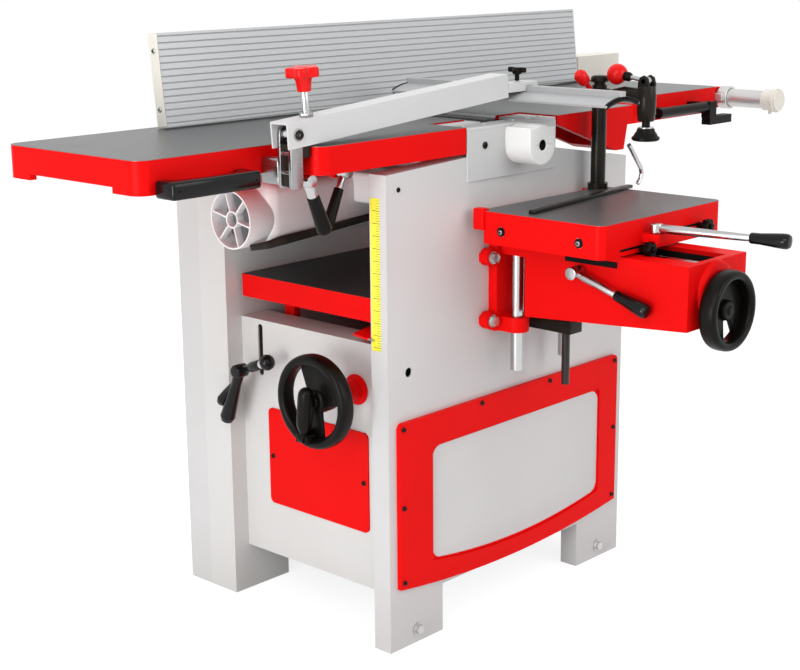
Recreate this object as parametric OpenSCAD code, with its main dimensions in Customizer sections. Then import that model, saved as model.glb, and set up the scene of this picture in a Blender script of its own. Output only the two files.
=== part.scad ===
// Combination planer thicknesser with a slot mortiser on its near side.
// The origin is on the floor, midway along the cabinet and over its lift column.
// +X is the way the wood is fed, -Y is the mortiser side and +Z is up.

/* [Cabinet] */
// Length of the cabinet along the feed
cab_l = 640; // [620:2:680]
// Clear width of the thicknesser throat
throat_w = 349; // [345:1:352]
// Thickness of the near side wall
wall_w = 36; // [34:1:40]
// Thickness of the rear side wall
rear_w = 68; // [64:1:74]
// Depth of the belt cover behind the rear wall
cover_w = 56; // [54:1:66]
// Height of the planing tables above the floor
table_z = 855; // [845:1:865]
// Length of one leg of a side wall
foot_l = 130; // [110:2:150]
// Height of the arch between the legs
arch_z = 85; // [70:1:90]

/* [Planing tables] */
// Outer end of the infeed table, measured from the cutter axis
infeed_l = 732; // [700:2:760]
// Outer end of the outfeed table, measured from the cutter axis
outfeed_l = 760; // [740:2:790]
// Depth of the table skirts
skirt_h = 50; // [46:1:52]

/* [Cutterblock] */
// Radius of the cutting circle
cut_r = 37; // [36:0.5:38]
// Length of the cutterblock
block_l = 310; // [300:2:312]

/* [Fence and guard] */
// Length of the fence
fence_l = 1105; // [1000:5:1150]
// Height of the fence
fence_h = 150; // [120:2:170]
// Lean of the fence, in degrees
fence_lean = 6; // [2:1:8]
// Length of the bridge guard blade
blade_l = 468; // [440:4:480]

/* [Thicknesser] */
// Height of the thicknesser table
bed_z = 590; // [570:2:600]
// Diameter of the rise and fall handwheel
wheel_d = 156; // [140:2:170]
// Outside diameter of the dust port
port_d = 100; // [90:1:104]

/* [Mortiser] */
// Length of the mortiser table along the feed
mort_l = 340; // [320:2:360]
// Depth of the mortiser table
mort_w = 243; // [237:2:249]
// Height of the mortiser table above the floor
mort_z = 722; // [716:1:728]
// Diameter of the mortiser handwheel
mort_wheel_d = 128; // [110:2:140]

/* [Hidden] */

$fn = 64;
half = cab_l / 2;
sheet = 3;
gap = 0.5;
fit = 0.05;
over = 2;

// Faces of the two side walls
rear_in = 165;
near_in = rear_in - throat_w;
near_out = near_in - wall_w;
rear_out = rear_in + rear_w;
cover_out = rear_out + cover_w;

// Cutterblock and its bearings
cut_z = table_z - cut_r;
block_r_less = 2;
block_r = cut_r - block_r_less;
journal_r = 15;
housing_w = 40;
housing_drop = 46;
housing_top_less = 12;
housing_top = table_z - housing_top_less;
near_end_less = 4;
near_end = near_out - near_end_less;
chuck_r = 21;
chuck_l = 42;
chuck_bore = 8;
chuck_depth = 30;
knife_t = 3;
knife_h = 12;
knife_count = 3;

// Top edge of the side walls
plate_left = -130;
plate_right = 104;
near_top_less = 58;
near_top = table_z - near_top_less;
near_top_left_less = 49;
near_top_left = table_z - near_top_left_less;
near_top_right_less = 55;
near_top_right = table_z - near_top_right_less;
near_top_far_less = 90;
near_top_far = table_z - near_top_far_less;
rear_top_less = 120;
rear_top = table_z - rear_top_less;
rear_top_mid_less = 65;
rear_top_mid = table_z - rear_top_mid_less;
rear_rise = 140;
rear_slope = 30;
cavity_top_less = 12;
cavity_top = near_top_far - cavity_top_less;
foot_t = 6;
anchor_x_less = 65;
anchor_x = half - anchor_x_less;
anchor_y = 200;
anchor_r = 7;
wall_hole_x_in = 49;
wall_hole_x = wall_hole_x_in - half;
wall_hole_z = 474;
wall_hole_r = 8;

// Folded plate beside the cutterblock
plate_bottom_less = 53;
plate_bottom = cut_z - plate_bottom_less;
plate_top_less = 7;
plate_top = table_z - plate_top_less;
plate_flange_more = 7;
plate_flange = near_in + plate_flange_more;
plate_hole_r = 25;
cover_r = 34;
cover_l = 53;
cover_hole_r = 9;

// Front and back panels between the walls
panel_x_less = 34;
panel_x = half - panel_x_less;
panel_top = 512;
panel_shelf = 60;
slot_y = 117;
slot_w = 12;
slot_z0 = 418;
slot_z1 = 498;
stud_z = 430;
stud_r = 5;
wheel_y = -117;
wheel_z = 430;
shaft_r = 9;
cover_y0 = -143;
cover_y1 = 99;
cover_z0 = 183;
cover_z1 = 358;
corner_r = 10;
screw_r = 4;
screw_inset = 10;

// Red panel on the near wall
red_x0_in = 18;
red_x0 = red_x0_in - half;
red_x1_less = 22;
red_x1 = half - red_x1_less;
red_z0 = 109;
red_z1 = 394;
red_t = 8;
red_bow = 22;
field_side = 80;
field_end = 54;
field_low = 30;
field_top = 54;
field_depth = 4;

// Bolts
bolt_r = 5;
bolt_head = 8.5;
bolt_head_h = 7;
washer_r = 11;
washer_t = 2;
foot_bolt_z = 24;

// Drive inside the belt cover
belt_y0_more = 16;
belt_y0 = rear_out + belt_y0_more;
belt_w = 24;
pulley_rim = 6;
cutter_pulley_r = 26;
motor_pulley_r = 46;
groove_d = 6;
belt_t = 8;
dome_r = 36;
dome_foot = 68;
belt_gap = 0.4;
motor_x = 160;
motor_z = 260;
motor_r = 74;
motor_l = 230;
motor_foot = 14;
motor_shaft_r = 12;
motor_fins = 18;
fin_h = 5;
fin_w = 4;
shaft_hole = 20;

// Feed rollers
roller_x = 86;
roller_r = 19;
roller_z_less = 35;
roller_z = cut_z - roller_z_less;
roller_pin = 8;

// Dust hood below the cutterblock
port_r = port_d / 2;
port_y = 98;
port_z = 699;
port_x0_less = 42;
port_x0 = -half - port_x0_less;
port_neck = 4;
neck_in = 1;
port_x1 = -half - port_neck;
hood_x0 = -half + over;
port_t = 3;
hood_x1 = -62;
hood_z0 = 654;
hood_z1 = 758;
hood_y0 = 44;
hood_y1 = rear_in;
chute_y = 150;
chute_x = 58;
chute_z0 = 700;
spoke_t = 3;
spoke_l = 14;
port_spokes = 4;
hub_r = 15;

// Thicknesser table and its lift
bed_x_less = 30;
bed_x = half - bed_x_less;
bed_y_less = 10;
bed_y = rear_in - bed_y_less;
bed_near = near_in + bed_y_less;
bed_t = 40;
bed_top = 20;
bed_rim = 14;
column_r = 45;
column_bore = 11;
column_z0 = 300;
guide_t = 7;
guide_z = 400;
pan_t = 6;
screw_core = 9;
screw_top = 470;
lug_x0 = -215;
lug_x1 = -200;
lug_half = 12;

// Rise and fall handwheel
wheel_x_less = 62;
wheel_x = -half - wheel_x_less;
rim_r = 9;
rim_deep = 14;
mort_rim_deep = 15;
wheel_r = wheel_d / 2;
hub_wheel_r = 20;
hub_wheel_l = 34;
spoke_w = 26;
spoke_thick = 9;
wheel_spokes = [0, 150, 250];
mort_spokes = [0, 120, 240];
mort_wheel_turn = 30;
crank_angle = 186;
crank_r = 58;
grip_l = 86;
grip_r = 13;
grip_shares = [0.4, 0.72, 0.92];
grip_pin = 4;
grip_x = grip_r + spoke_thick;
eye_r = 9;
eye_w = 7;
cheek_t = 5;
cheek_r = 8;
flange_r = 26;
flange_t = 4;
boss_r = 18;
boss_l = 36;

// Thickness lock lever
lever_x_less = 16;
lever_x = -half - lever_x_less;
lever_hub_r = 12;
lever_hub_l = 26;
lever_arm = 62;
lever_grip = 42;
lever_angle = 22;
knob_arm = 82;
knob_angle = -21;
knob_r = 11;

// Planing tables
lip = 42;
table_near = -140;
table_rear = 181;
top_t = 16;
skirt_t = 12;
skirt_foot = 60;
skirt_rise = 9;
rib_t = 10;
rib_h = 22;
rib_shares = [0.25, 0.5, 0.75];
table_corner = 22;
lip_clear = 112;
apron_near_less = 3;
apron_near = near_out - apron_near_less;
apron_x0 = -462;
apron_x1 = -133;
apron_h = 43;
wedge_x0 = 108;
wedge_x1 = 332;
wedge_h0 = 16;
wedge_h1 = 78;
wedge_flat = 24;

// Table hinges
hinge_y_more = 40;
hinge_y = rear_in + hinge_y_more;
hinge_z_less = 55;
hinge_z = table_z - hinge_z_less;
pin_r = 8;
lug_w = 12;
lug_in = 180;
lug_out = 288;
knuckle_w = 24;
knuckle_r = 13;
hinge_lug_y = 18;

// Table handles
handle_y_less = 32;
handle_y = table_near - handle_y_less;
handle_z_less = 42;
handle_z = table_z - handle_z_less;
handle_r = 10;
infeed_handle_in = 27;
infeed_handle_l = 165;
infeed_handle_x0 = infeed_handle_in - infeed_l;
infeed_handle_x1 = infeed_handle_x0 + infeed_handle_l;
outfeed_handle_x0 = 494;
outfeed_handle_x1 = 664;
outfeed_handle_rise = 10;
handle_block = 22;
step_l = 80;
step_h = 14;

// Levers below the infeed apron
table_lever_r = 6;
table_grip_r = 10;
table_lever_l = 28;
table_grip_l = 64;
lever_hub = 10;
lever_boss = 22;
lock_lever_x = -448;
lock_lever_y_more = 40;
lock_lever_y = near_out + lock_lever_y_more;
lock_lever_lean = 23;
depth_lever_x = -340;
depth_lever_y_more = 70;
depth_lever_y = near_out + depth_lever_y_more;
depth_lever_lean = -25;
lever_lug = 10;

// Fence
fence_y = 138;
fence_gap = 4;
fence_t = 22;
fence_ribs = 14;
rib_d = 2;
fence_pin_y = 172;
fence_pin_z_more = 20;
fence_pin_z = table_z + fence_pin_z_more;
fence_pin_r = 6;
fence_lug = 30;
fence_lug_r = 11;
tube_x_more = 26;
tube_x = outfeed_l + tube_x_more;
tube_z_less = 24;
tube_z = table_z - tube_z_less;
tube_r = 18;
tube_t = 3;
tube_y0 = -233;
tube_y1 = 240;
cap_r = 21;
cap_l = 32;
cap_in = 12;
carriage_l = 123;
carriage_x0 = tube_x - carriage_l;
carriage_gap = 12;
fence_x0 = carriage_x0 - carriage_gap - fence_l;
fence_pin_l = 283;
fence_pin_x0 = carriage_x0 - fence_pin_l;
fence_lug_far = 263;
fence_lug_near = 103;
fence_lug_xs = [carriage_x0 - fence_lug_far, carriage_x0 - fence_lug_near];
carriage_y0 = 146;
carriage_y1 = 198;
carriage_top_more = 54;
carriage_top = table_z + carriage_top_more;
carriage_low_more = 2;
carriage_low = table_z + carriage_low_more;
tube_lug = 26;
tube_lug_0 = -128;
tube_lug_1 = 52;
tube_lugs = [tube_lug_0, tube_lug_1];

// Bridge guard
post_x = -493;
post_y_more = 28;
post_y = near_out + post_y_more;
post_w = 30;
pivot_z_more = 20;
pivot_z = table_z + pivot_z_more;
pivot_r = 5;
post_low_less = 60;
post_low = table_z - post_low_less;
post_top_r = 12;
arm_wall = 3;
arm_in_more = 1;
arm_in = post_w + arm_in_more;
arm_up = 17;
arm_down = 19;
arm_back = 20;
arm_l = 483;
arm_rise = 4.4;
screw_x = 36;
post_seat = 53;
knob_screw_r = 6;
knob_top = 103;
star_r = 25;
star_h = 22;
star_lobes = 5;
lobe_r = 8;
bracket_x0 = post_x + arm_l;
blade_in = 55;
blade_x = bracket_x0 + blade_in;
bracket_drop = 11.4;
bracket_z = pivot_z + arm_l * sin(arm_rise) - bracket_drop;
bracket_t = 6;
tongue_l = 46;
bracket_reach = 24;
bracket_x1 = blade_x + bracket_reach;
tongue_low = 8;
blade_w = 92;
blade_bend = 110;
blade_t = 4;
blade_far = 65;
blade_near = blade_far - blade_l;
rail_w = 14;
rail_h = 9;

// Mortiser bracket, guide rods and lift
mort_y_less = 26;
mort_y = near_out - mort_y_less;
casting_x0 = -72;
casting_x1 = 112;
casting_z0 = 508;
casting_z1 = 656;
plate_t = 18;
ear_r = 15;
ear_x = 10;
ear_z = 20;
rod_r = 11;
rod_x_0 = -46;
rod_x_1 = 86;
rod_xs = [rod_x_0, rod_x_1];
rod_y_less = 42;
rod_y = near_out - rod_y_less;
rod_z0 = 441;
rod_lug_r = 20;
rod_lug_h = 26;
nut_x0 = 8;
nut_x1 = 40;
nut_h = 22;
nut_drop = 6;
nut_y0_less = 114;
nut_y0 = near_out - nut_y0_less;
spindle_x = 24;
spindle_y_less = 92;
spindle_y = near_out - spindle_y_less;
spindle_r = 7;
spindle_z0 = 410;

// Mortiser knee
knee_x0 = -62;
knee_x1 = 104;
knee_y0_less = 385;
knee_y0 = near_out - knee_y0_less;
knee_y1_less = 70;
knee_y1 = near_out - knee_y1_less;
knee_top_less = 58;
knee_top = mort_z - knee_top_less;
knee_low = 540;
knee_tip = 562;
knee_flange = 24;
knee_flange_y_less = 20;
knee_flange_y = near_out - knee_flange_y_less;
window_x0 = -24;
window_x1 = 66;
window_z = 44;
window_inset = 14;
slide_rod_r = 8;
slide_x_0 = 0;
slide_x_1 = 42;
slide_xs = [slide_x_0, slide_x_1];
slide_z_less = 20;
slide_z = knee_top - slide_z_less;
mort_wheel_x = 14;
mort_wheel_z = 588;
mort_wheel_gap = 24;
mort_hub_r = 16;
mort_rim = 8;
mort_shaft_r = 8;
mort_shaft_in = 40;
knee_wall = 12;

// Mortiser saddle and table
mort_x0 = -125;
mort_skirt = 54;
mort_top_t = 16;
mort_wall = 12;
mort_corner = 14;
saddle_y0_more = 24;
saddle_y0 = mort_y - mort_w + saddle_y0_more;
saddle_y1_less = 24;
saddle_y1 = mort_y - saddle_y1_less;
saddle_x0 = -26;
saddle_x1 = 68;
saddle_low_y0_less = 210;
saddle_low_y0 = near_out - saddle_low_y0_less;
saddle_low_y1_less = 96;
saddle_low_y1 = near_out - saddle_low_y1_less;
saddle_low_gap = 4;
saddle_low_z_less = 36;
saddle_low_z = knee_top - saddle_low_z_less;
traverse_r = 8;
traverse_in = 44;
traverse_z_less = 31;
traverse_z = mort_z - traverse_z_less;
saddle_top_less = 18;
saddle_top = mort_z - saddle_top_less;

// Mortiser levers
mort_lever_r = 7;
mort_grip_r = 11;
mort_grip_l = 60;
traverse_x = -3;
traverse_y_less = 16;
traverse_y = mort_y - mort_w - traverse_y_less;
traverse_lever_z_less = 17;
traverse_lever_z = mort_z - traverse_lever_z_less;
traverse_lever_l = 162;
traverse_angle = 7.6;
traverse_tongue = 14;
traverse_lug_h = 14;
traverse_lug_z = traverse_lever_z - mort_lever_r - 2 * gap - traverse_lug_h;
plunge_y_less = 184;
plunge_y = near_out - plunge_y_less;
plunge_z = 632;
plunge_l = 87;
plunge_angle = 18;
plunge_hub_r = 12;
plunge_out = 30;

// Hold-down clamp
clamp_x_less = 24;
clamp_x = mort_x0 + mort_l - clamp_x_less;
clamp_y_less = 5;
clamp_y = mort_y - clamp_y_less;
clamp_r = 13;
clamp_h = 181;
clamp_base_r = 18;
clamp_base_h = 10;
clamp_arm_l = 98;
clamp_arm_z_more = 160;
clamp_arm_z = mort_z + clamp_arm_z_more;
clamp_ring_r = 20;
clamp_ring_h = 30;
clamp_arm_w = 16;
clamp_head_r = 15;
clamp_head_h = 60;
clamp_head_top = 24;
plunger_r = 7;
bell_r = 24;
bell_neck = 12;
bell_h = 22;
bell_drop = 33;
foot_lift = 10;
ball_r = 18;
ball_arm = 62;
ball_angle = 82;
fork_r = 9;
fork_t = 5;
fork_in = 7;
clamp_pivot_z = clamp_arm_z + clamp_head_top + fork_r - over / 2;

// A box between two corners given as ranges along each axis.
module block(x, y, z) {
    translate([x[0], y[0], z[0]])
        cube([x[1] - x[0], y[1] - y[0], z[1] - z[0]]);
}

// Round bars that start at a point and run along one axis.
module bar_x(p, r, l) {
    translate(p) rotate([0, 90, 0]) cylinder(r = r, h = l);
}

module bar_y(p, r, l) {
    translate(p) rotate([-90, 0, 0]) cylinder(r = r, h = l);
}

module bar_z(p, r, l) {
    translate(p) cylinder(r = r, h = l);
}

// An outline in X and Z made solid across a range of Y.
module across(y) {
    translate([0, y[1], 0]) rotate([90, 0, 0]) linear_extrude(y[1] - y[0]) children();
}

// An outline in Y and Z made solid along a range of X.
module along(x) {
    translate([x[0], 0, 0]) rotate([90, 0, 90]) linear_extrude(x[1] - x[0]) children();
}

// A rectangle with round corners between two opposite corners.
module round_rect(x, y, r) {
    translate([x[0] + r, y[0]]) square([x[1] - x[0] - 2 * r, y[1] - y[0]]);
    translate([x[0], y[0] + r]) square([x[1] - x[0], y[1] - y[0] - 2 * r]);
    for (cx = [x[0] + r, x[1] - r], cy = [y[0] + r, y[1] - r])
        translate([cx, cy]) circle(r);
}

// Places of the bolts that hold the mortiser bracket.
mort_bolt_xs = [casting_x0 - ear_x, casting_x1 + ear_x];
mort_bolts = [for (x = mort_bolt_xs, z = [casting_z0 + ear_z, casting_z1 - ear_z]) [x, z]];
foot_bolts = [for (x = [-anchor_x, anchor_x]) [x, foot_bolt_z]];

module near_outline() {
    polygon([
        [-half, 0], [-half + foot_l, 0], [-half + foot_l, arch_z], [half - foot_l, arch_z],
        [half - foot_l, 0], [half, 0], [half, near_top_far], [plate_right, near_top_right],
        [housing_w + gap, near_top_right], [housing_w + gap, cut_z - housing_drop - gap],
        [-housing_w - gap, cut_z - housing_drop - gap], [-housing_w - gap, near_top_left],
        [plate_left, near_top_left], [-half, near_top]]);
}

module rear_outline() {
    polygon([
        [-half, 0], [-half + foot_l, 0], [-half + foot_l, arch_z], [half - foot_l, arch_z],
        [half - foot_l, 0], [half, 0], [half, rear_top], [rear_rise + rear_slope, rear_top],
        [rear_rise, rear_top_mid], [housing_w + gap, rear_top_mid],
        [housing_w + gap, cut_z - housing_drop - gap],
        [-housing_w - gap, cut_z - housing_drop - gap], [-housing_w - gap, rear_top_mid],
        [-rear_rise, rear_top_mid], [-rear_rise - rear_slope, rear_top], [-half, rear_top]]);
}

// The room inside a folded wall, over a floor flange in each leg.
module wall_cavity(top) {
    polygon([
        [-half + sheet, foot_t], [-half + foot_l - sheet, foot_t], [-half + foot_l - sheet, arch_z + sheet],
        [half - foot_l + sheet, arch_z + sheet], [half - foot_l + sheet, foot_t], [half - sheet, foot_t],
        [half - sheet, top], [-half + sheet, top]]);
}

module anchor_holes(y) {
    for (x = [-anchor_x, anchor_x]) bar_z([x, y, -over], anchor_r, foot_t + 2 * over);
}

module near_wall() {
    color("gainsboro") difference() {
        across([near_out, near_in]) near_outline();
        across([near_out + sheet, near_in - sheet]) wall_cavity(cavity_top);
        anchor_holes(-anchor_y);
        bar_y([wall_hole_x, near_out - over, wall_hole_z], wall_hole_r, sheet + 2 * over);
        for (b = concat(mort_bolts, foot_bolts))
            bar_y([b[0], near_out - over, b[1]], bolt_r + gap, sheet + 2 * over);
        roller_holes(near_in - sheet - over);
    }
}

module roller_holes(y) {
    for (x = [-roller_x, roller_x]) bar_y([x, y, roller_z], roller_pin + fit, sheet + 2 * over);
}

module rear_wall() {
    color("gainsboro") difference() {
        union() {
            across([rear_in, rear_out]) rear_outline();
            for (s = [-1, 1], x = [lug_in, lug_out]) hinge_lug(s, x);
        }
        across([rear_in + sheet, rear_out - sheet]) wall_cavity(rear_top - sheet);
        anchor_holes(anchor_y);
        bar_y([motor_x, rear_in - over, motor_z], shaft_hole, rear_w + 2 * over);
        roller_holes(rear_in - over);
    }
}

module hinge_lug(s, x) {
    difference() {
        union() {
            block(s > 0 ? [x, x + lug_w] : [-x - lug_w, -x],
                [hinge_y - hinge_lug_y, hinge_y + hinge_lug_y], [rear_top - sheet, hinge_z]);
            bar_x([s > 0 ? x : -x - lug_w, hinge_y, hinge_z], hinge_lug_y, lug_w);
        }
        bar_x([s > 0 ? x - over : -x - lug_w - over, hinge_y, hinge_z], pin_r, lug_w + 2 * over);
    }
}

module hinge_pins() {
    color("silver") for (s = [-1, 1])
        bar_x([s > 0 ? lug_in - over : -lug_out - lug_w - over, hinge_y, hinge_z], pin_r,
            lug_out - lug_in + lug_w + 2 * over);
}

// A panel folded over at the top, facing -X, with its face at panel_x.
module plain_panel() {
    block([-panel_x, -panel_x + sheet], [near_in, rear_in], [arch_z, panel_top]);
    block([-panel_x, -panel_x + panel_shelf], [near_in, rear_in], [panel_top - sheet, panel_top]);
}

module front_panel() {
    color("gainsboro") difference() {
        plain_panel();
        block([-panel_x - over, -panel_x + sheet + over], [slot_y - slot_w / 2, slot_y + slot_w / 2],
            [slot_z0, slot_z1]);
        for (z = [slot_z0, slot_z1]) bar_x([-panel_x - over, slot_y, z], slot_w / 2, sheet + 2 * over);
        bar_x([-panel_x - over, wheel_y, wheel_z], boss_r + gap, sheet + 2 * over);
    }
}

module back_panel() {
    color("gainsboro") mirror([1, 0, 0]) plain_panel();
}

module floor_pan() {
    color("gray") difference() {
        union() {
            block([-panel_x + sheet, panel_x - sheet], [near_in, rear_in], [arch_z, arch_z + pan_t]);
            bar_z([0, 0, arch_z], column_r + guide_t, guide_z - arch_z);
        }
        bar_z([0, 0, arch_z + pan_t], column_r + fit, guide_z);
        bar_z([0, 0, arch_z - over], screw_core + fit, pan_t + 2 * over);
    }
}

module belt_cover() {
    color("gainsboro") difference() {
        block([-half, half], [rear_out, cover_out], [0, rear_top - pan_t]);
        block([-half + sheet, half - sheet], [rear_out - over, cover_out - sheet],
            [-over, rear_top - pan_t - sheet]);
        across([rear_out - over, cover_out - sheet]) dome_outline(sheet);
    }
    color("gainsboro") difference() {
        across([rear_out, cover_out]) dome_outline(0);
        across([rear_out - over, cover_out - sheet]) dome_outline(sheet);
    }
}

// Outline of the rounded top of the belt cover, over the cutterblock pulley.
module dome_outline(inset) {
    r = dome_r - inset;
    low = rear_top - pan_t - 2 * inset;
    translate([0, cut_z]) circle(r);
    polygon([[-r, low], [dome_foot - inset, low], [r, cut_z], [-r, cut_z]]);
}

// A rectangle with round corners whose lower edge is bowed down.
module bowed_rect(x, z, bow) {
    chord = (x[1] - x[0]) / 2;
    r = (chord * chord + bow * bow) / (2 * bow);
    intersection() {
        round_rect(x, [z[0] - bow, z[1]], corner_r);
        translate([x[0] + chord, z[0] - bow + r]) circle(r, $fn = 360);
    }
}

// Panel on the near wall with a shallow field in it, both bowed alike.
module side_panel() {
    color("red") difference() {
        across([near_out - red_t, near_out]) bowed_rect([red_x0, red_x1], [red_z0, red_z1], red_bow);
        across([near_out - red_t - over, near_out - red_t + field_depth])
            bowed_rect([red_x0 + field_side, red_x1 - field_end],
                [red_z0 + field_low, red_z1 - field_top], red_bow);
    }
}

module front_cover() {
    color("red") difference() {
        along([-panel_x - sheet, -panel_x]) round_rect([cover_y0, cover_y1], [cover_z0, cover_z1], corner_r);
        for (y = [cover_y0 + screw_inset, cover_y1 - screw_inset])
            bar_x([-panel_x - sheet - over, y, (cover_z0 + cover_z1) / 2], screw_r, sheet + 2 * over);
    }
}

module handwheel_flange() {
    color("red") difference() {
        union() {
            bar_x([-panel_x - flange_t, wheel_y, wheel_z], flange_r, flange_t);
            bar_x([-panel_x - boss_l, wheel_y, wheel_z], boss_r, boss_l + boss_r);
        }
        bar_x([-panel_x - boss_l - over, wheel_y, wheel_z], shaft_r + fit, boss_l + boss_r + 2 * over);
    }
}

// A hex bolt in the near wall, with a washer below its head.
module wall_bolt(x, z, face) {
    bar_y([x, face - washer_t, z], washer_r, washer_t);
    translate([x, face - washer_t, z]) rotate([90, 0, 0]) cylinder(r = bolt_head, h = bolt_head_h, $fn = 6);
    bar_y([x, face - washer_t, z], bolt_r, near_out + sheet - face + washer_t);
}

module hex_bolts() {
    color("silver") {
        for (b = mort_bolts) wall_bolt(b[0], b[1], near_out - plate_t);
        for (b = foot_bolts) wall_bolt(b[0], b[1], near_out);
    }
}

module cutter_side_plate() {
    color("gainsboro") difference() {
        union() {
            block([plate_left, plate_right], [near_out - sheet, near_out], [plate_bottom, plate_top]);
            block([plate_left, plate_right], [near_out - sheet, plate_flange], [plate_top - sheet, plate_top]);
        }
        bar_y([0, near_out - sheet - over, cut_z], plate_hole_r, sheet + 2 * over);
    }
}

module cover_outline(inset) {
    translate([0, cut_z]) circle(cover_r - inset);
    translate([-cover_r + inset, cut_z]) square([2 * (cover_r - inset), plate_top - cut_z - inset]);
}

module chuck_cover() {
    color("whitesmoke") difference() {
        across([near_out - sheet - cover_l, near_out - sheet]) cover_outline(0);
        across([near_out - cover_l, near_out]) cover_outline(sheet);
        bar_y([0, near_out - sheet - cover_l - over, cut_z], cover_hole_r, sheet + 2 * over);
    }
}

module dust_hood() {
    color("whitesmoke") {
        difference() {
            union() {
                bar_x([port_x0, port_y, port_z], port_r, port_x1 - port_x0);
                bar_x([port_x1 - over, port_y, port_z], port_r - neck_in, hood_x0 - port_x1 + 2 * over);
                block([hood_x0, hood_x1], [hood_y0, hood_y1], [hood_z0, hood_z1]);
                block([hood_x1 - chute_x, hood_x1], [-chute_y, hood_y1], [chute_z0, hood_z1]);
            }
            bar_x([port_x0 - over, port_y, port_z], port_r - port_t, hood_x0 + port_t - port_x0 + 2 * over);
            block([hood_x0 + port_t, hood_x1 + over], [hood_y0 + port_t, hood_y1 - port_t],
                [hood_z0 + port_t, hood_z1 - port_t]);
            block([hood_x1 - chute_x + port_t, hood_x1 + over], [port_t - chute_y, hood_y1 - port_t],
                [chute_z0 + port_t, hood_z1 - port_t]);
        }
        for (i = [0 : port_spokes - 1]) translate([port_x0 + sheet, port_y, port_z])
            rotate([i * 360 / port_spokes, 0, 0])
            block([0, spoke_l], [hub_r - over / 2, port_r - port_t / 2], [-spoke_t / 2, spoke_t / 2]);
        difference() {
            bar_x([port_x0 + sheet, port_y, port_z], hub_r, spoke_l);
            bar_x([port_x0, port_y, port_z], hub_r - port_t, spoke_l + sheet + over);
        }
    }
}

module motor() {
    y1 = rear_in - motor_foot;
    color("dimgray") difference() {
        union() {
            bar_y([motor_x, y1 - motor_l, motor_z], motor_r, motor_l);
            bar_y([motor_x, y1, motor_z], motor_r + motor_foot, motor_foot);
            for (i = [0 : motor_fins - 1]) translate([motor_x, 0, motor_z]) rotate([0, i * 360 / motor_fins, 0])
                block([motor_r - over, motor_r + fin_h], [y1 - motor_l + motor_foot, y1 - motor_foot],
                    [-fin_w / 2, fin_w / 2]);
        }
        bar_y([motor_x, y1 - motor_foot, motor_z], motor_shaft_r + fit, 2 * motor_foot + over);
    }
}

// A grooved pulley on the Y axis, its rims on both sides of the belt.
module pulley(r) {
    bar_y([0, belt_y0 - pulley_rim, 0], r, pulley_rim);
    bar_y([0, belt_y0, 0], r - groove_d, belt_w);
    bar_y([0, belt_y0 + belt_w, 0], r, pulley_rim);
}

module cutter_pulley() {
    color("gray") difference() {
        translate([0, 0, cut_z]) pulley(cutter_pulley_r);
        bar_y([0, rear_out, cut_z], journal_r, cover_w);
    }
}

module motor_pulley() {
    color("gray") {
        translate([motor_x, 0, motor_z]) pulley(motor_pulley_r);
        bar_y([motor_x, rear_in - 2 * motor_foot, motor_z], motor_shaft_r, belt_y0 - rear_in + 2 * motor_foot);
    }
}

module belt_loop(grow) {
    hull() {
        translate([0, cut_z]) circle(cutter_pulley_r - groove_d + grow);
        translate([motor_x, motor_z]) circle(motor_pulley_r - groove_d + grow);
    }
}

module drive_belt() {
    color("black") across([belt_y0 + gap, belt_y0 + belt_w - gap]) difference() {
        belt_loop(belt_gap + belt_t);
        belt_loop(belt_gap);
    }
}

module bearing_housings() {
    low = cut_z - housing_drop;
    color("gray") for (y = [[near_out, near_in + gap], [rear_in - gap, rear_out]]) difference() {
        block([-housing_w, housing_w], y, [low, housing_top]);
        bar_y([0, y[0] - over, cut_z], journal_r + fit, y[1] - y[0] + 2 * over);
    }
}

module cutterblock() {
    color("silver") difference() {
        union() {
            bar_y([0, -block_l / 2, cut_z], block_r, block_l);
            bar_y([0, near_end, cut_z], journal_r, cover_out - pan_t - near_end);
        }
        for (i = [0 : knife_count - 1]) translate([0, 0, cut_z]) rotate([0, i * 360 / knife_count, 0])
            block([block_r - knife_h, cut_r + over], [-block_l / 2 - over, block_l / 2 + over],
                [-knife_t / 2, knife_t / 2]);
    }
}

module planer_knives() {
    color("lightgray") for (i = [0 : knife_count - 1])
        translate([0, 0, cut_z]) rotate([0, i * 360 / knife_count, 0])
            block([block_r - knife_h, cut_r - gap], [-block_l / 2, block_l / 2], [-knife_t / 2, knife_t / 2]);
}

module mortise_chuck() {
    color("silver") difference() {
        bar_y([0, near_end - chuck_l, cut_z], chuck_r, chuck_l);
        bar_y([0, near_end - chuck_l - over, cut_z], chuck_bore, chuck_depth + over);
    }
}

// Both rollers run in bores of the inner wall sheets.
module feed_roller(x) {
    color("silver") {
        bar_y([x, near_in + over, roller_z], roller_r, throat_w - 2 * over);
        bar_y([x, near_in - sheet, roller_z], roller_pin, throat_w + 2 * sheet);
    }
}

module infeed_roller() {
    feed_roller(-roller_x);
}

module outfeed_roller() {
    feed_roller(roller_x);
}

module thickness_table() {
    stud_lug = [lug_x0, lug_x1];
    color("red") difference() {
        union() {
            difference() {
                block([-bed_x, bed_x], [bed_near, bed_y], [bed_z - bed_t, bed_z]);
                block([-bed_x + bed_rim, bed_x - bed_rim], [bed_near + bed_rim, bed_y - bed_rim],
                    [bed_z - bed_t - over, bed_z - bed_top]);
            }
            bar_z([0, 0, bed_z - bed_t], column_r + bed_rim, bed_t - bed_top);
            block(stud_lug, [slot_y - lug_half, slot_y + lug_half], [stud_z - lug_half, bed_z - bed_top]);
        }
        bar_x([lug_x0 - over, slot_y, stud_z], stud_r + fit, lug_x1 - lug_x0 + 2 * over);
    }
}

module lift_column() {
    color("silver") difference() {
        bar_z([0, 0, column_z0], column_r, bed_z - bed_t - column_z0);
        bar_z([0, 0, column_z0 - over], column_bore, bed_z - bed_t - column_z0);
    }
}

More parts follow.
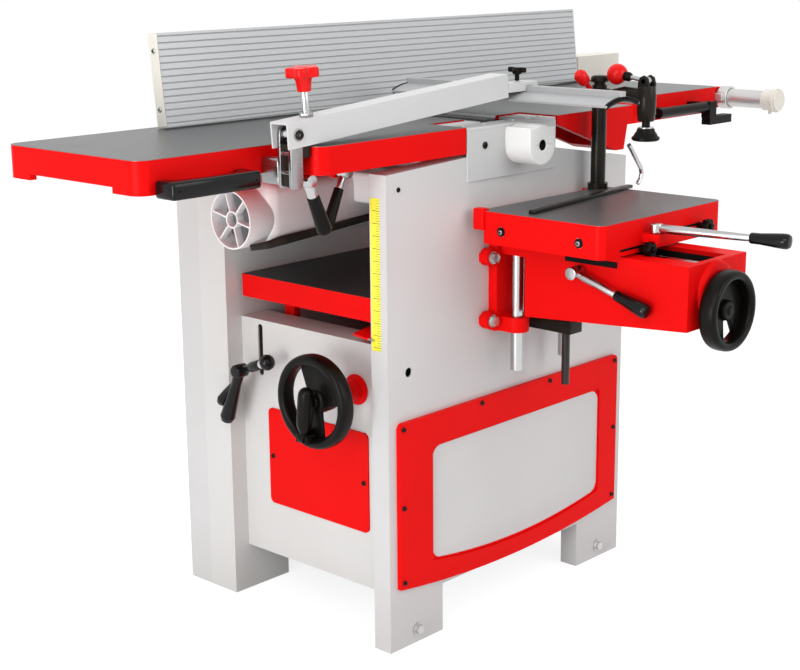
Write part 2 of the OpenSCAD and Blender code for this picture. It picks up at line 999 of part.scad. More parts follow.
module lift_screw() {
    color("dimgray") {
        bar_z([0, 0, arch_z - over], screw_core, screw_top - arch_z);
        bar_z([0, 0, arch_z + pan_t + gap], 2 * screw_core, pan_t);
    }
}

// A wheel on the X axis: a chamfered rim, broad spokes and a hub on a shaft.
module spoked_wheel(r, rim, deep, hub, hub_l, turns) {
    rotate([0, 90, 0]) rotate_extrude($fn = 96) polygon([
        [r - 2 * rim, -deep / 2], [r - 2 * rim, deep / 2], [r - rim, deep], [r - rim / 2, deep],
        [r, deep / 2], [r, -deep / 2], [r - rim / 2, -deep], [r - rim, -deep]]);
    bar_x([-spoke_thick, 0, 0], hub, hub_l + spoke_thick);
    for (turn = turns) rotate([turn, 0, 0])
        block([-spoke_thick / 2, spoke_thick / 2], [-spoke_w / 2, spoke_w / 2], [hub / 2 + over, r - rim]);
}

// Places things at the hinge of the folding grip, with the rim outwards along Z.
module at_grip() {
    translate([wheel_x, wheel_y, wheel_z]) rotate([crank_angle, 0, 0])
        translate([-grip_x, 0, crank_r]) children();
}

module rise_handwheel() {
    color("black") {
        translate([wheel_x, wheel_y, wheel_z]) {
            spoked_wheel(wheel_r, rim_r, rim_deep, hub_wheel_r, hub_wheel_l,
                [for (a = wheel_spokes) crank_angle + a]);
            bar_x([0, 0, 0], shaft_r, -panel_x + boss_r + 2 * sheet - wheel_x);
        }
        at_grip() {
            for (s = [-1, 1]) translate([0, s * (eye_w + gap + cheek_t / 2), 0])
                block([-cheek_r, grip_x], [-cheek_t / 2, cheek_t / 2], [-cheek_r, cheek_r]);
            bar_y([0, -eye_w - gap - cheek_t / 2, 0], grip_pin, 2 * (eye_w + gap) + cheek_t);
        }
    }
}

// Grip folded inwards over the wheel: an eye on the pin and a bullet-shaped body.
module crank_grip() {
    color("black") at_grip() difference() {
        union() {
            bar_y([0, -eye_w, 0], eye_r, 2 * eye_w);
            rotate([180, 0, 0]) rotate_extrude() polygon([
                [0, 0], [eye_w - over / 2, 0], [eye_w - over / 2, eye_r + cheek_r],
                [grip_r, grip_l * grip_shares[0]],
                [grip_r, grip_l * grip_shares[1]], [eye_r, grip_l * grip_shares[2]], [eye_w / 2, grip_l],
                [0, grip_l]]);
        }
        bar_y([0, -eye_w - over, 0], grip_pin + fit, 2 * (eye_w + over));
    }
}

// Lever on a stud: a hub, an arm with a grip and a shorter arm with a round knob.
module lock_lever() {
    color("black") {
        bar_x([lever_x - lever_hub_l / 2, slot_y, stud_z], lever_hub_r, lever_hub_l);
        bar_x([lever_x, slot_y, stud_z], stud_r, lug_x1 - lever_x + over);
        translate([lever_x, slot_y, stud_z]) rotate([lever_angle, 0, 0]) {
            bar_z([0, 0, -lever_arm], stud_r + over, lever_arm);
            translate([0, 0, -lever_arm - lever_grip]) cylinder(r1 = lever_hub_r, r2 = stud_r + over,
                h = lever_grip);
        }
        translate([lever_x, slot_y, stud_z]) rotate([knob_angle, 0, 0]) {
            bar_y([0, -knob_arm, 0], stud_r + over, knob_arm);
            translate([0, -knob_arm, 0]) sphere(knob_r);
        }
    }
}

module infeed_plan(inset) {
    round_rect([-infeed_l + inset, -lip], [table_near + inset, table_rear - inset], table_corner - inset);
    translate([-lip - table_corner - over, table_near + inset])
        square([table_corner + over, table_rear - table_near - 2 * inset]);
    round_rect([apron_x0 + inset, apron_x1 - inset], [apron_near + inset, table_near + table_corner],
        table_corner - inset);
    translate([apron_x1 - inset - table_corner, apron_near + inset]) square(table_corner);
}

// Cross ribs below a table top, at equal shares of its length.
module table_ribs(x) {
    for (s = rib_shares) let (at = x[0] + s * (x[1] - x[0]))
        block([at, at + rib_t], [table_near + over, table_rear - over],
            [table_z - top_t - rib_h, table_z - top_t + over]);
}

// Hinge knuckles behind a table, beside the lugs of the rear wall.
module knuckles(s) {
    for (x = [lug_in + lug_w + gap, lug_out - gap - knuckle_w]) difference() {
        union() {
            bar_x([s > 0 ? x : -x - knuckle_w, hinge_y, hinge_z], knuckle_r, knuckle_w);
            block(s > 0 ? [x, x + knuckle_w] : [-x - knuckle_w, -x], [table_rear - over, hinge_y],
                [hinge_z - knuckle_r / 2, hinge_z + knuckle_r]);
        }
        bar_x([s > 0 ? x - over : -x - knuckle_w - over, hinge_y, hinge_z], pin_r + fit, knuckle_w + 2 * over);
    }
}

// A lug below the infeed apron for the stub of a lever.
module lever_seat(x, y) {
    difference() {
        block([x - lever_hub, x + lever_hub], [y + lever_boss / 2 + gap, y + lever_boss / 2 + gap + lever_lug],
            [table_z - apron_h - 2 * lever_hub - over, table_z - top_t]);
        bar_y([x, y, table_z - apron_h - lever_hub - over], table_lever_r + fit, lever_boss + lever_lug + over);
    }
}

module infeed_table() {
    low = table_z - skirt_h;
    color("red") union() {
        difference() {
            translate([0, 0, low]) linear_extrude(skirt_h) infeed_plan(0);
            translate([0, 0, low - over]) linear_extrude(skirt_h - top_t + over) infeed_plan(skirt_t);
            block([-lip_clear, 0], [table_near - over, table_rear + over], [low - over, table_z - top_t]);
            block([-infeed_l - over, -infeed_l + skirt_t + over],
                [table_near + skirt_foot, table_rear - skirt_foot], [low - over, low + skirt_rise]);
            block([-infeed_l + skirt_foot, apron_x0], [table_near - over, table_near + skirt_t + over],
                [low - over, low + skirt_rise]);
            block([apron_x0 - over, apron_x1 + over], [apron_near - over, table_near],
                [low - over, table_z - apron_h]);
        }
        table_ribs([-infeed_l, -lip_clear]);
        knuckles(-1);
        lever_seat(lock_lever_x, lock_lever_y);
        lever_seat(depth_lever_x, depth_lever_y);
    }
}

module outfeed_plan(inset) {
    round_rect([lip, outfeed_l - inset], [table_near + inset, table_rear - inset], table_corner - inset);
    translate([lip, table_near + inset]) square([table_corner + over, table_rear - table_near - 2 * inset]);
}

module outfeed_table() {
    low = table_z - skirt_h;
    color("red") union() {
        difference() {
            translate([0, 0, low]) linear_extrude(skirt_h) outfeed_plan(0);
            translate([0, 0, low - over]) linear_extrude(skirt_h - top_t + over) outfeed_plan(skirt_t);
            block([0, lip_clear], [table_near - over, table_rear + over], [low - over, table_z - top_t]);
        }
        difference() {
            across([apron_near, table_near + skirt_t]) polygon([
                [wedge_x0, table_z], [wedge_x1, table_z], [wedge_x1, table_z - skirt_h / 2],
                [wedge_x1 - wedge_flat / 2, table_z - skirt_h / 2], [wedge_x1 - wedge_flat, table_z - wedge_h1],
                [wedge_x1 - 2 * wedge_flat, table_z - wedge_h1], [wedge_x0, table_z - wedge_h0]]);
            block([wedge_x0 - over, wedge_x1 - 3 * wedge_flat], [apron_near + skirt_t, table_near + over],
                [table_z - wedge_h1, table_z - top_t]);
        }
        table_ribs([lip_clear, outfeed_l]);
        knuckles(1);
        for (y = tube_lugs) difference() {
            block([outfeed_l - skirt_t, tube_x], [y, y + tube_lug], [tube_z - tube_r - sheet, table_z - sheet]);
            bar_y([tube_x, y - over, tube_z], tube_r, tube_lug + 2 * over);
        }
    }
}

// A round grip bar on two blocks in front of a table skirt.
module table_handle(x) {
    bar_x([x[0], handle_y, handle_z], handle_r, x[1] - x[0]);
    for (at = [x[0], x[1] - handle_block])
        block([at, at + handle_block], [handle_y, table_near], [handle_z - handle_r, handle_z + handle_r]);
}

module infeed_handle() {
    color("black") table_handle([infeed_handle_x0, infeed_handle_x1]);
}

module outfeed_handle() {
    x1 = outfeed_handle_x1 + step_l;
    color("black") translate([0, 0, outfeed_handle_rise]) {
        table_handle([outfeed_handle_x0, outfeed_handle_x1]);
        block([outfeed_handle_x1 - over, outfeed_handle_x1 + handle_block],
            [handle_y - handle_r, handle_y + handle_r], [handle_z - handle_block, handle_z + handle_r]);
        block([outfeed_handle_x1, x1], [handle_y - handle_r, handle_y + handle_r],
            [handle_z - handle_block - step_h, handle_z - handle_block + over]);
    }
}

// A lever below the infeed apron, on a stub that turns in its lug.
module hanging_lever(x, y, lean) {
    z = table_z - apron_h - lever_hub - over;
    color("silver") {
        bar_y([x, y - lever_boss / 2, z], lever_hub, lever_boss);
        bar_y([x, y, z], table_lever_r, lever_boss / 2 + gap + lever_lug);
        translate([x, y, z]) rotate([0, -lean, 0]) {
            bar_z([0, 0, -table_lever_l], table_lever_r, table_lever_l);
            bar_z([0, 0, -table_lever_l - table_grip_l], table_grip_r, table_grip_l);
        }
    }
}

module table_lock_lever() {
    hanging_lever(lock_lever_x, lock_lever_y, lock_lever_lean);
}

module depth_lever() {
    hanging_lever(depth_lever_x, depth_lever_y, depth_lever_lean);
}

module fence_tube() {
    color("silver") difference() {
        bar_y([tube_x, tube_y0, tube_z], tube_r, tube_y1 - tube_y0);
        bar_y([tube_x, tube_y0 - over, tube_z], tube_r - tube_t, tube_y1 - tube_y0 + 2 * over);
    }
}

module tube_cap() {
    color("beige") {
        bar_y([tube_x, tube_y0 - cap_l, tube_z], cap_r, cap_l);
        bar_y([tube_x, tube_y0 - over, tube_z], tube_r - tube_t, cap_in);
    }
}

module fence_carriage() {
    color("beige") difference() {
        union() {
            block([tube_x - tube_r - pan_t, tube_x + tube_r + pan_t], [carriage_y0, carriage_y1],
                [tube_z - tube_r - pan_t, carriage_top]);
            block([carriage_x0, tube_x], [carriage_y0, carriage_y1], [carriage_low, carriage_top]);
            bar_x([fence_pin_x0, fence_pin_y, fence_pin_z], fence_pin_r, carriage_x0 - fence_pin_x0 + over);
        }
        bar_y([tube_x, carriage_y0 - over, tube_z], tube_r + fit, carriage_y1 - carriage_y0 + 2 * over);
    }
}

// Ribbed fence face, with its height as Y and its thickness as X before it is stood up.
module fence_profile() {
    pitch = fence_h / fence_ribs;
    difference() {
        square([fence_t, fence_h]);
        for (i = [0 : fence_ribs - 1])
            translate([0, i * pitch]) polygon([[-over, pitch / 4], [rib_d, pitch / 2], [-over, pitch * 3 / 4]]);
    }
}

module fence_plate() {
    color("silver") difference() {
        union() {
            translate([0, fence_y, table_z + fence_gap]) rotate([-fence_lean, 0, 0])
                along([fence_x0, fence_x0 + fence_l]) fence_profile();
            for (x = fence_lug_xs) bar_x([x, fence_pin_y, fence_pin_z], fence_lug_r, fence_lug);
            for (x = fence_lug_xs)
                block([x, x + fence_lug], [fence_y + fence_t / 2, fence_pin_y],
                    [fence_pin_z - fence_lug_r / 2, fence_pin_z + fence_lug_r]);
        }
        for (x = fence_lug_xs)
            bar_x([x - over, fence_pin_y, fence_pin_z], fence_pin_r + fit, fence_lug + 2 * over);
    }
}

module guard_post() {
    color("gray") difference() {
        union() {
            bar_y([post_x, post_y - post_w / 2, pivot_z], post_top_r, post_w);
            block([post_x - post_top_r, post_x + post_top_r], [post_y - post_w / 2, post_y + post_w / 2],
                [post_low, pivot_z]);
            block([post_x - post_top_r, post_x + post_seat - 2 * post_top_r],
                [post_y - post_w / 2, post_y + post_w / 2], [pivot_z - 3 * post_top_r, pivot_z - post_top_r]);
            block([post_x - post_top_r, post_x + post_top_r], [post_y, table_near],
                [post_low, table_z - top_t]);
        }
        bar_y([post_x, post_y - post_w, pivot_z], pivot_r + fit, 2 * post_w);
    }
}

// Places things in the frame of the raised guard arm, with its pivot as origin.
module on_arm() {
    translate([post_x, post_y, pivot_z]) rotate([0, -arm_rise, 0]) children();
}

module guard_arm() {
    outer = arm_in / 2 + arm_wall;
    color("gainsboro") on_arm() {
        difference() {
            block([-arm_back, arm_l], [-outer, outer], [-arm_down, arm_up + arm_wall]);
            block([-arm_back - over, arm_l + over], [-arm_in / 2, arm_in / 2], [-arm_down - over, arm_up]);
            bar_z([screw_x, 0, 0], knob_screw_r + fit, arm_up + arm_wall + over);
        }
        bar_y([0, -outer - over, 0], pivot_r, 2 * (outer + over));
    }
}

module guard_knob() {
    color("red") on_arm() translate([screw_x, 0, 0]) {
        bar_z([0, 0, -arm_down / 2], knob_screw_r, knob_top - star_h + over);
        bar_z([0, 0, knob_top - arm_down / 2 - star_h], star_r - lobe_r / 2, star_h);
        for (i = [0 : star_lobes - 1]) rotate([0, 0, i * 360 / star_lobes])
            bar_z([star_r - lobe_r / 2, 0, knob_top - arm_down / 2 - star_h / 2], lobe_r, star_h / 2);
    }
}

module blade_bracket() {
    outer = arm_in / 2 + arm_wall;
    color("silver") difference() {
        union() {
            block([bracket_x0, bracket_x1], [post_y - outer, post_y + outer],
                [bracket_z, bracket_z + rail_h + bracket_t]);
            on_arm() block([arm_l - tongue_l, arm_l + bracket_t], [-arm_in / 2, arm_in / 2],
                [-tongue_low, arm_up]);
        }
        block([blade_x - rail_w / 2 - fit, blade_x + rail_w / 2 + fit],
            [post_y - outer - over, post_y + outer + over],
            [bracket_z - over, bracket_z + rail_h + fit]);
    }
}

// A curved blade across the cutterblock, with a rail on its crown.
module guard_blade() {
    crown = bracket_z - gap;
    color("silver") {
        difference() {
            intersection() {
                bar_y([blade_x, blade_near, crown - blade_bend], blade_bend, blade_l);
                block([blade_x - blade_w / 2, blade_x + blade_w / 2], [blade_near, blade_near + blade_l],
                    [crown - blade_bend / 2, crown + over]);
            }
            bar_y([blade_x, blade_near - over, crown - blade_bend], blade_bend - blade_t, blade_l + 2 * over);
        }
        block([blade_x - rail_w / 2, blade_x + rail_w / 2], [blade_near, blade_near + blade_l],
            [crown - blade_t / 2, bracket_z + rail_h]);
    }
}

module mort_bracket() {
    color("red") difference() {
        union() {
            block([casting_x0, casting_x1], [near_out - plate_t, near_out], [casting_z0, casting_z1]);
            for (b = mort_bolts) bar_y([b[0], near_out - plate_t, b[1]], ear_r, plate_t);
            for (b = mort_bolts) block([b[0] - ear_r, b[0] + ear_r], [near_out - plate_t, near_out],
                [b[1] - ear_r / 2, b[1] + ear_r / 2]);
            for (x = rod_xs) {
                bar_z([x, rod_y, casting_z0], rod_lug_r, rod_lug_h);
                block([x - rod_lug_r, x + rod_lug_r], [rod_y, near_out - plate_t + over],
                    [casting_z0, casting_z0 + rod_lug_h]);
            }
        }
        for (x = rod_xs) bar_z([x, rod_y, casting_z0 - over], rod_r + fit, rod_lug_h + 2 * over);
        for (b = mort_bolts) bar_y([b[0], near_out - plate_t - over, b[1]], bolt_r + gap, plate_t + 2 * over);
    }
}

module nut_block() {
    color("black") difference() {
        block([nut_x0, nut_x1], [nut_y0, near_out - plate_t],
            [casting_z0 - nut_drop, casting_z0 - nut_drop + nut_h]);
        bar_z([spindle_x, spindle_y, casting_z0 - nut_drop - over], spindle_r + fit, nut_h + 2 * over);
    }
}

// Upright rods in the bracket's lugs, and level rods that carry the saddle.
module guide_rods() {
    color("silver") {
        for (x = rod_xs) bar_z([x, rod_y, rod_z0], rod_r, knee_top - over - rod_z0);
        for (x = slide_xs) bar_y([x, knee_y0 + over, slide_z], slide_rod_r, knee_y1 - knee_y0 - 2 * over);
    }
}

module mort_knee() {
    color("red") difference() {
        union() {
            along([knee_x0, knee_x1]) polygon([
                [knee_y0, knee_tip], [knee_y0, knee_top], [knee_y1, knee_top], [knee_y1, knee_low]]);
            block([knee_x0, knee_x1], [knee_y1 - over, knee_flange_y], [knee_top - knee_flange, knee_top]);
        }
        block([window_x0, window_x1], [knee_y0 + window_inset, knee_y1 - window_inset],
            [knee_top - window_z, knee_top + over]);
        block([knee_x0 + knee_wall, knee_x1 - knee_wall],
            [knee_y0 + mort_shaft_in + knee_wall, knee_y1 - knee_wall],
            [knee_low - over, knee_top - window_z - knee_wall]);
        for (x = rod_xs) bar_z([x, rod_y, knee_top - knee_flange - over], rod_r, knee_flange);
        for (x = slide_xs) bar_y([x, knee_y0 + over, slide_z], slide_rod_r, knee_y1 - knee_y0 - 2 * over);
        bar_z([spindle_x, spindle_y, knee_top - window_z - knee_wall - over], spindle_r + fit,
            knee_wall / 2 + over);
        bar_y([mort_wheel_x, knee_y0 - over, mort_wheel_z], mort_shaft_r + fit, mort_shaft_in + over);
        bar_x([knee_x0 - over, plunge_y, plunge_z], mort_lever_r + fit, plunge_out + over);
    }
}

module mort_spindle() {
    color("dimgray") bar_z([spindle_x, spindle_y, spindle_z0], spindle_r,
        knee_top - window_z - knee_wall / 2 - gap - spindle_z0);
}

module mort_handwheel() {
    color("black") translate([mort_wheel_x, knee_y0 - mort_wheel_gap, mort_wheel_z]) rotate([0, 0, 90]) {
        spoked_wheel(mort_wheel_d / 2, mort_rim, mort_rim_deep, mort_hub_r, mort_wheel_gap - gap,
            [for (a = mort_spokes) mort_wheel_turn + a]);
        bar_x([0, 0, 0], mort_shaft_r, mort_wheel_gap + mort_shaft_in - over);
    }
}

module mort_saddle() {
    color("gray") difference() {
        union() {
            block([saddle_x0, saddle_x1], [saddle_y0, saddle_y1], [knee_top + gap, saddle_top]);
            block([window_x0 + saddle_low_gap, window_x1 - saddle_low_gap], [saddle_low_y0, saddle_low_y1],
                [saddle_low_z, knee_top + over]);
        }
        for (x = slide_xs) bar_y([x, saddle_low_y0 - over, slide_z], slide_rod_r + fit,
            saddle_low_y1 - saddle_low_y0 + 2 * over);
        for (y = [mort_y - traverse_in, mort_y - mort_w + traverse_in])
            bar_x([saddle_x0 - over, y, traverse_z], traverse_r + fit, saddle_x1 - saddle_x0 + 2 * over);
    }
}

module mort_table() {
    x = [mort_x0, mort_x0 + mort_l];
    y = [mort_y - mort_w, mort_y];
    low = mort_z - mort_skirt;
    color("red") difference() {
        union() {
            translate([0, 0, low]) linear_extrude(mort_skirt) round_rect(x, y, mort_corner);
            block([clamp_x - clamp_base_r - over, clamp_x + clamp_base_r + over],
                [y[1] - over, clamp_y + clamp_base_r + over], [mort_z - mort_top_t, mort_z]);
            block([traverse_x - traverse_tongue, traverse_x + traverse_tongue],
                [traverse_y - traverse_tongue, y[0] + over],
                [traverse_lug_z, traverse_lug_z + traverse_lug_h]);
        }
        block([x[0] + mort_wall, x[1] - mort_wall], [y[0] + mort_wall, y[1] - mort_wall],
            [low - over, mort_z - mort_top_t]);
        for (at = [mort_y - traverse_in, mort_y - mort_w + traverse_in])
            bar_x([x[0] - over, at, traverse_z], traverse_r, mort_l + 2 * over);
        bar_z([traverse_x, traverse_y, traverse_lug_z - over], stud_r + fit, traverse_lug_h + 2 * over);
    }
}

module traverse_rods() {
    color("silver") for (y = [mort_y - traverse_in, mort_y - mort_w + traverse_in])
        bar_x([mort_x0 + gap, y, traverse_z], traverse_r, mort_l - 2 * gap);
}

module traverse_lever() {
    color("silver") translate([traverse_x, traverse_y, traverse_lever_z]) {
        bar_z([0, 0, -mort_lever_r - gap], plunge_hub_r, 2 * (mort_lever_r + gap));
        bar_z([0, 0, traverse_lug_z + gap - traverse_lever_z], stud_r, traverse_lug_h + over);
        rotate([0, 0, traverse_angle]) {
            bar_y([0, -traverse_lever_l, 0], mort_lever_r, traverse_lever_l);
            bar_y([0, -traverse_lever_l - mort_grip_l, 0], mort_grip_r, mort_grip_l);
        }
    }
}

module plunge_lever() {
    color("silver") translate([knee_x0, plunge_y, plunge_z]) {
        bar_x([-plunge_out, 0, 0], plunge_hub_r, plunge_out - gap);
        bar_x([-gap - over, 0, 0], mort_lever_r, plunge_out - over);
        translate([-plunge_out / 2, 0, 0]) rotate([plunge_angle, 0, 0]) {
            bar_y([0, -plunge_l, 0], mort_lever_r, plunge_l);
            bar_y([0, -plunge_l - mort_grip_l, 0], mort_grip_r, mort_grip_l);
        }
    }
}

module clamp_column() {
    color("black") {
        bar_z([clamp_x, clamp_y, mort_z], clamp_r, clamp_h);
        bar_z([clamp_x, clamp_y, mort_z], clamp_base_r, clamp_base_h);
    }
}

module clamp_arm() {
    head_y = clamp_y - clamp_arm_l;
    head_z = clamp_arm_z - clamp_head_h + clamp_head_top;
    color("black") difference() {
        union() {
            bar_z([clamp_x, clamp_y, clamp_arm_z - clamp_ring_h / 2], clamp_ring_r, clamp_ring_h);
            block([clamp_x - clamp_arm_w / 2, clamp_x + clamp_arm_w / 2], [head_y, clamp_y],
                [clamp_arm_z - clamp_arm_w, clamp_arm_z + clamp_arm_w / 2]);
            bar_z([clamp_x, head_y, head_z], clamp_head_r, clamp_head_h);
            for (side = [-1, 1]) clamp_fork(side);
        }
        bar_z([clamp_x, clamp_y, clamp_arm_z - clamp_ring_h], clamp_r + fit, 2 * clamp_ring_h);
        bar_z([clamp_x, head_y, head_z - over], plunger_r + fit, clamp_head_h / 2);
        bar_x([clamp_x - clamp_head_r, head_y, clamp_pivot_z], stud_r + fit, 2 * clamp_head_r);
    }
}

// One of the two cheeks that carry the clamp lever.
module clamp_fork(side) {
    x = clamp_x + side * (fork_in + fork_t / 2);
    block([x - fork_t / 2, x + fork_t / 2], [clamp_y - clamp_arm_l - fork_r, clamp_y - clamp_arm_l + fork_r],
        [clamp_arm_z, clamp_pivot_z]);
    bar_x([x - fork_t / 2, clamp_y - clamp_arm_l, clamp_pivot_z], fork_r, fork_t);
}

// Lever with a ball on it, on a pin between the cheeks.
module clamp_lever() {
    color("red") translate([clamp_x, clamp_y - clamp_arm_l, clamp_pivot_z]) {
        bar_x([-fork_in - fork_t, 0, 0], stud_r, 2 * (fork_in + fork_t));
        bar_x([-fork_in + gap, 0, 0], fork_r - over, 2 * (fork_in - gap));
        rotate([-ball_angle, 0, 0]) {
            bar_z([0, 0, 0], stud_r - over / 2, ball_arm);
            translate([0, 0, ball_arm]) sphere(ball_r);
        }
    }
}

module clamp_foot() {
    head_y = clamp_y - clamp_arm_l;
    head_z = clamp_arm_z - clamp_head_h + clamp_head_top;
    color("black") {
        bar_z([clamp_x, head_y, head_z - bell_drop], plunger_r,
            bell_drop + clamp_head_h / 2 - 2 * over - foot_lift);
        translate([clamp_x, head_y, head_z - bell_drop]) cylinder(r1 = bell_r, r2 = bell_neck, h = bell_h);
    }
}

near_wall();
rear_wall();
front_panel();
back_panel();
floor_pan();
belt_cover();
side_panel();
front_cover();
handwheel_flange();
hex_bolts();
cutter_side_plate();
chuck_cover();
dust_hood();
motor();
drive_belt();
bearing_housings();
hinge_pins();
cutterblock();
planer_knives();
cutter_pulley();
mortise_chuck();
motor_pulley();
infeed_roller();
outfeed_roller();
thickness_table();
lift_column();
lift_screw();
rise_handwheel();
crank_grip();
lock_lever();
infeed_table();
infeed_handle();
table_lock_lever();
depth_lever();
outfeed_table();
outfeed_handle();
fence_tube();
tube_cap();
fence_carriage();
fence_plate();
guard_post();
guard_arm();
guard_knob();
blade_bracket();
guard_blade();
mort_bracket();
nut_block();
guide_rods();
mort_knee();
mort_spindle();
mort_handwheel();
mort_saddle();
mort_table();
traverse_rods();
traverse_lever();
plunge_lever();
clamp_column();
clamp_arm();
clamp_lever();
clamp_foot();
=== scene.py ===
"""Looks of a combination planer thicknesser with a slot mortiser, dressed over its solid model."""

import logging
import math
from dataclasses import dataclass, replace
from enum import Enum
from typing import ClassVar, Iterable, NamedTuple, Optional, Sequence

import bmesh
import bpy
from mathutils import Matrix, Vector


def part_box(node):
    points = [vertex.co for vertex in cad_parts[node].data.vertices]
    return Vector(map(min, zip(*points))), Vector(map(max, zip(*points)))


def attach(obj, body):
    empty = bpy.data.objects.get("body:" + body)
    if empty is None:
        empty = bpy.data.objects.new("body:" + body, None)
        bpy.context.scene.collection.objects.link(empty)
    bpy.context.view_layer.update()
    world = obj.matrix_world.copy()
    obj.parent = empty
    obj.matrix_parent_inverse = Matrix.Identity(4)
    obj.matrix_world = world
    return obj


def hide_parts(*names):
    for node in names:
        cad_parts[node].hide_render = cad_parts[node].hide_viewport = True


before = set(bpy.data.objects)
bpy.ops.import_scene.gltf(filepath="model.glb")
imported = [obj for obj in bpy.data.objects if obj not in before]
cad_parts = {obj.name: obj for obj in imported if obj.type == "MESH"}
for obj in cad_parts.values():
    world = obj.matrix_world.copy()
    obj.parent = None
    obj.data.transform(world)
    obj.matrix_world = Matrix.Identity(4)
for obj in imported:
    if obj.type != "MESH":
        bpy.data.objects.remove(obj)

log = logging.getLogger("planer")
Socket = bpy.types.NodeSocket
Point = Sequence[float]
Pair = tuple[float, float]
Triple = tuple[float, float, float]
Value = Socket | float | Sequence[float]
MM = 0.001
BUMP_DEPTH = 0.0006
DOUBLES = 1e-4
NODE_DOUBLES = 1e-5
SHARP_EDGE = 0.6
ROUND_STEPS = 3
NODE_ROUND_STEPS = 2
NODE_SHARP_EDGE = math.radians(40)
SMOOTH_EDGE = math.radians(38)
FINE_DETAIL, BROAD_DETAIL = 3.0, 5.0
NOISE_SPAN, STREAK_SPAN = (0.3, 0.7), (0.35, 0.65)
DARKENING_TOP = 0.12
WHITE = (1.0, 1.0, 1.0, 1.0)
BOTTOM_TONE = (0.32, 0.30, 0.27, 1.0)
RIGHT, LEFT, FAR, NEAR, UP = (1, 0, 0), (-1, 0, 0), (0, 1, 0), (0, -1, 0), (0, 0, 1)


class Pattern(Enum):
    """The fine relief of a finish."""

    FINE = "orange peel of paint or grain of a moulding"
    GROUND = "straight grinding marks"
    THREAD = "screw thread round an upright axis"


class Axis(Enum):
    """A row axis, by its place in a coordinate."""

    Y = 1
    Z = 2


class Tree:
    """A node tree with short calls for adding and joining nodes."""

    def __init__(self, owner: bpy.types.Material | bpy.types.World) -> None:
        """Starts an empty tree.

        Args:
            owner: The material or world that holds it.
        """
        owner.use_nodes = True
        self.nodes, self.links = owner.node_tree.nodes, owner.node_tree.links
        self.nodes.clear()

    def add(self, kind: str, sockets: Optional[dict[str | int, Value]] = None, **settings: object) -> bpy.types.Node:
        """Adds one node.

        Args:
            kind: The node's type name.
            sockets: Input names or numbers to a value, or to a socket to join.
            settings: The node's own properties.

        Returns:
            The new node.
        """
        node = self.nodes.new(kind)
        for key, value in settings.items():
            setattr(node, key, value)
        for key, value in (sockets or {}).items():
            if isinstance(value, Socket):
                self.links.new(value, node.inputs[key])
            else:
                node.inputs[key].default_value = value
        return node

    def calc(self, operation: str, first: Value, second: Value) -> Socket:
        """Works out one sum of two values or sockets."""
        return self.add("ShaderNodeMath", {0: first, 1: second}, operation=operation).outputs[0]

    def mix(self, factor: Socket, low: Value, high: Value) -> Socket:
        """Mixes two values by a factor from 0 to 1."""
        return self.add("ShaderNodeMix", {0: factor, 2: low, 3: high}, data_type="FLOAT").outputs[0]

    def blend(self, factor: Socket, low: Value, high: Value) -> Socket:
        """Mixes two colours by a factor from 0 to 1."""
        return self.add("ShaderNodeMix", {0: factor, 6: low, 7: high}, data_type="RGBA").outputs[2]

    def spread(self, source: Socket, low: float, high: float, start: float = 0.0, end: float = 1.0) -> Socket:
        """Maps a value's range from start to end onto one from low to high."""
        return self.add("ShaderNodeMapRange", {0: source, 1: start, 2: end, 3: low, 4: high}).outputs[0]

    def noise(self, place: Socket, scale: float, detail: float) -> Socket:
        """Adds noise over a place."""
        return self.add("ShaderNodeTexNoise", {0: place, 2: scale, 3: detail}).outputs[0]

    def place(self) -> Socket:
        """The piece's own coordinates."""
        return self.add("ShaderNodeTexCoord").outputs["Object"]

    def along(self, axis: Axis) -> Socket:
        """One of the piece's own coordinates."""
        return self.add("ShaderNodeSeparateXYZ", {0: self.place()}).outputs[axis.value]

    def bump(self, strength: float, height: Socket) -> Socket:
        """A normal raised by a height."""
        return self.add("ShaderNodeBump", {"Strength": strength, "Distance": BUMP_DEPTH, "Height": height}).outputs[0]

    def shown(self) -> Socket:
        """1 for light that comes to the eye straight, through glass or by a bright surface."""
        path = self.add("ShaderNodeLightPath").outputs
        return self.calc("MAXIMUM", path["Is Glossy Ray"],
                         self.calc("MAXIMUM", path["Is Camera Ray"], path["Is Transmission Ray"]))

    def close(self, shader: bpy.types.Node, output: str = "ShaderNodeOutputMaterial") -> None:
        """Joins a shader to the tree's output."""
        self.add(output, {0: shader.outputs[0]})


class Dress:
    """A surface that becomes a material, made once."""

    name: str
    slot: str

    def shader(self, tree: Tree) -> bpy.types.Node:
        """Lays out the surface's shader in a tree."""
        raise NotImplementedError

    def material(self) -> bpy.types.Material:
        """Makes the surface's material, or finds it.

        Returns:
            The material.
        """
        made = bpy.data.materials.get(self.name)
        if not made:
            made = bpy.data.materials.new(self.name)
            tree = Tree(made)
            tree.close(self.shader(tree))
        return made


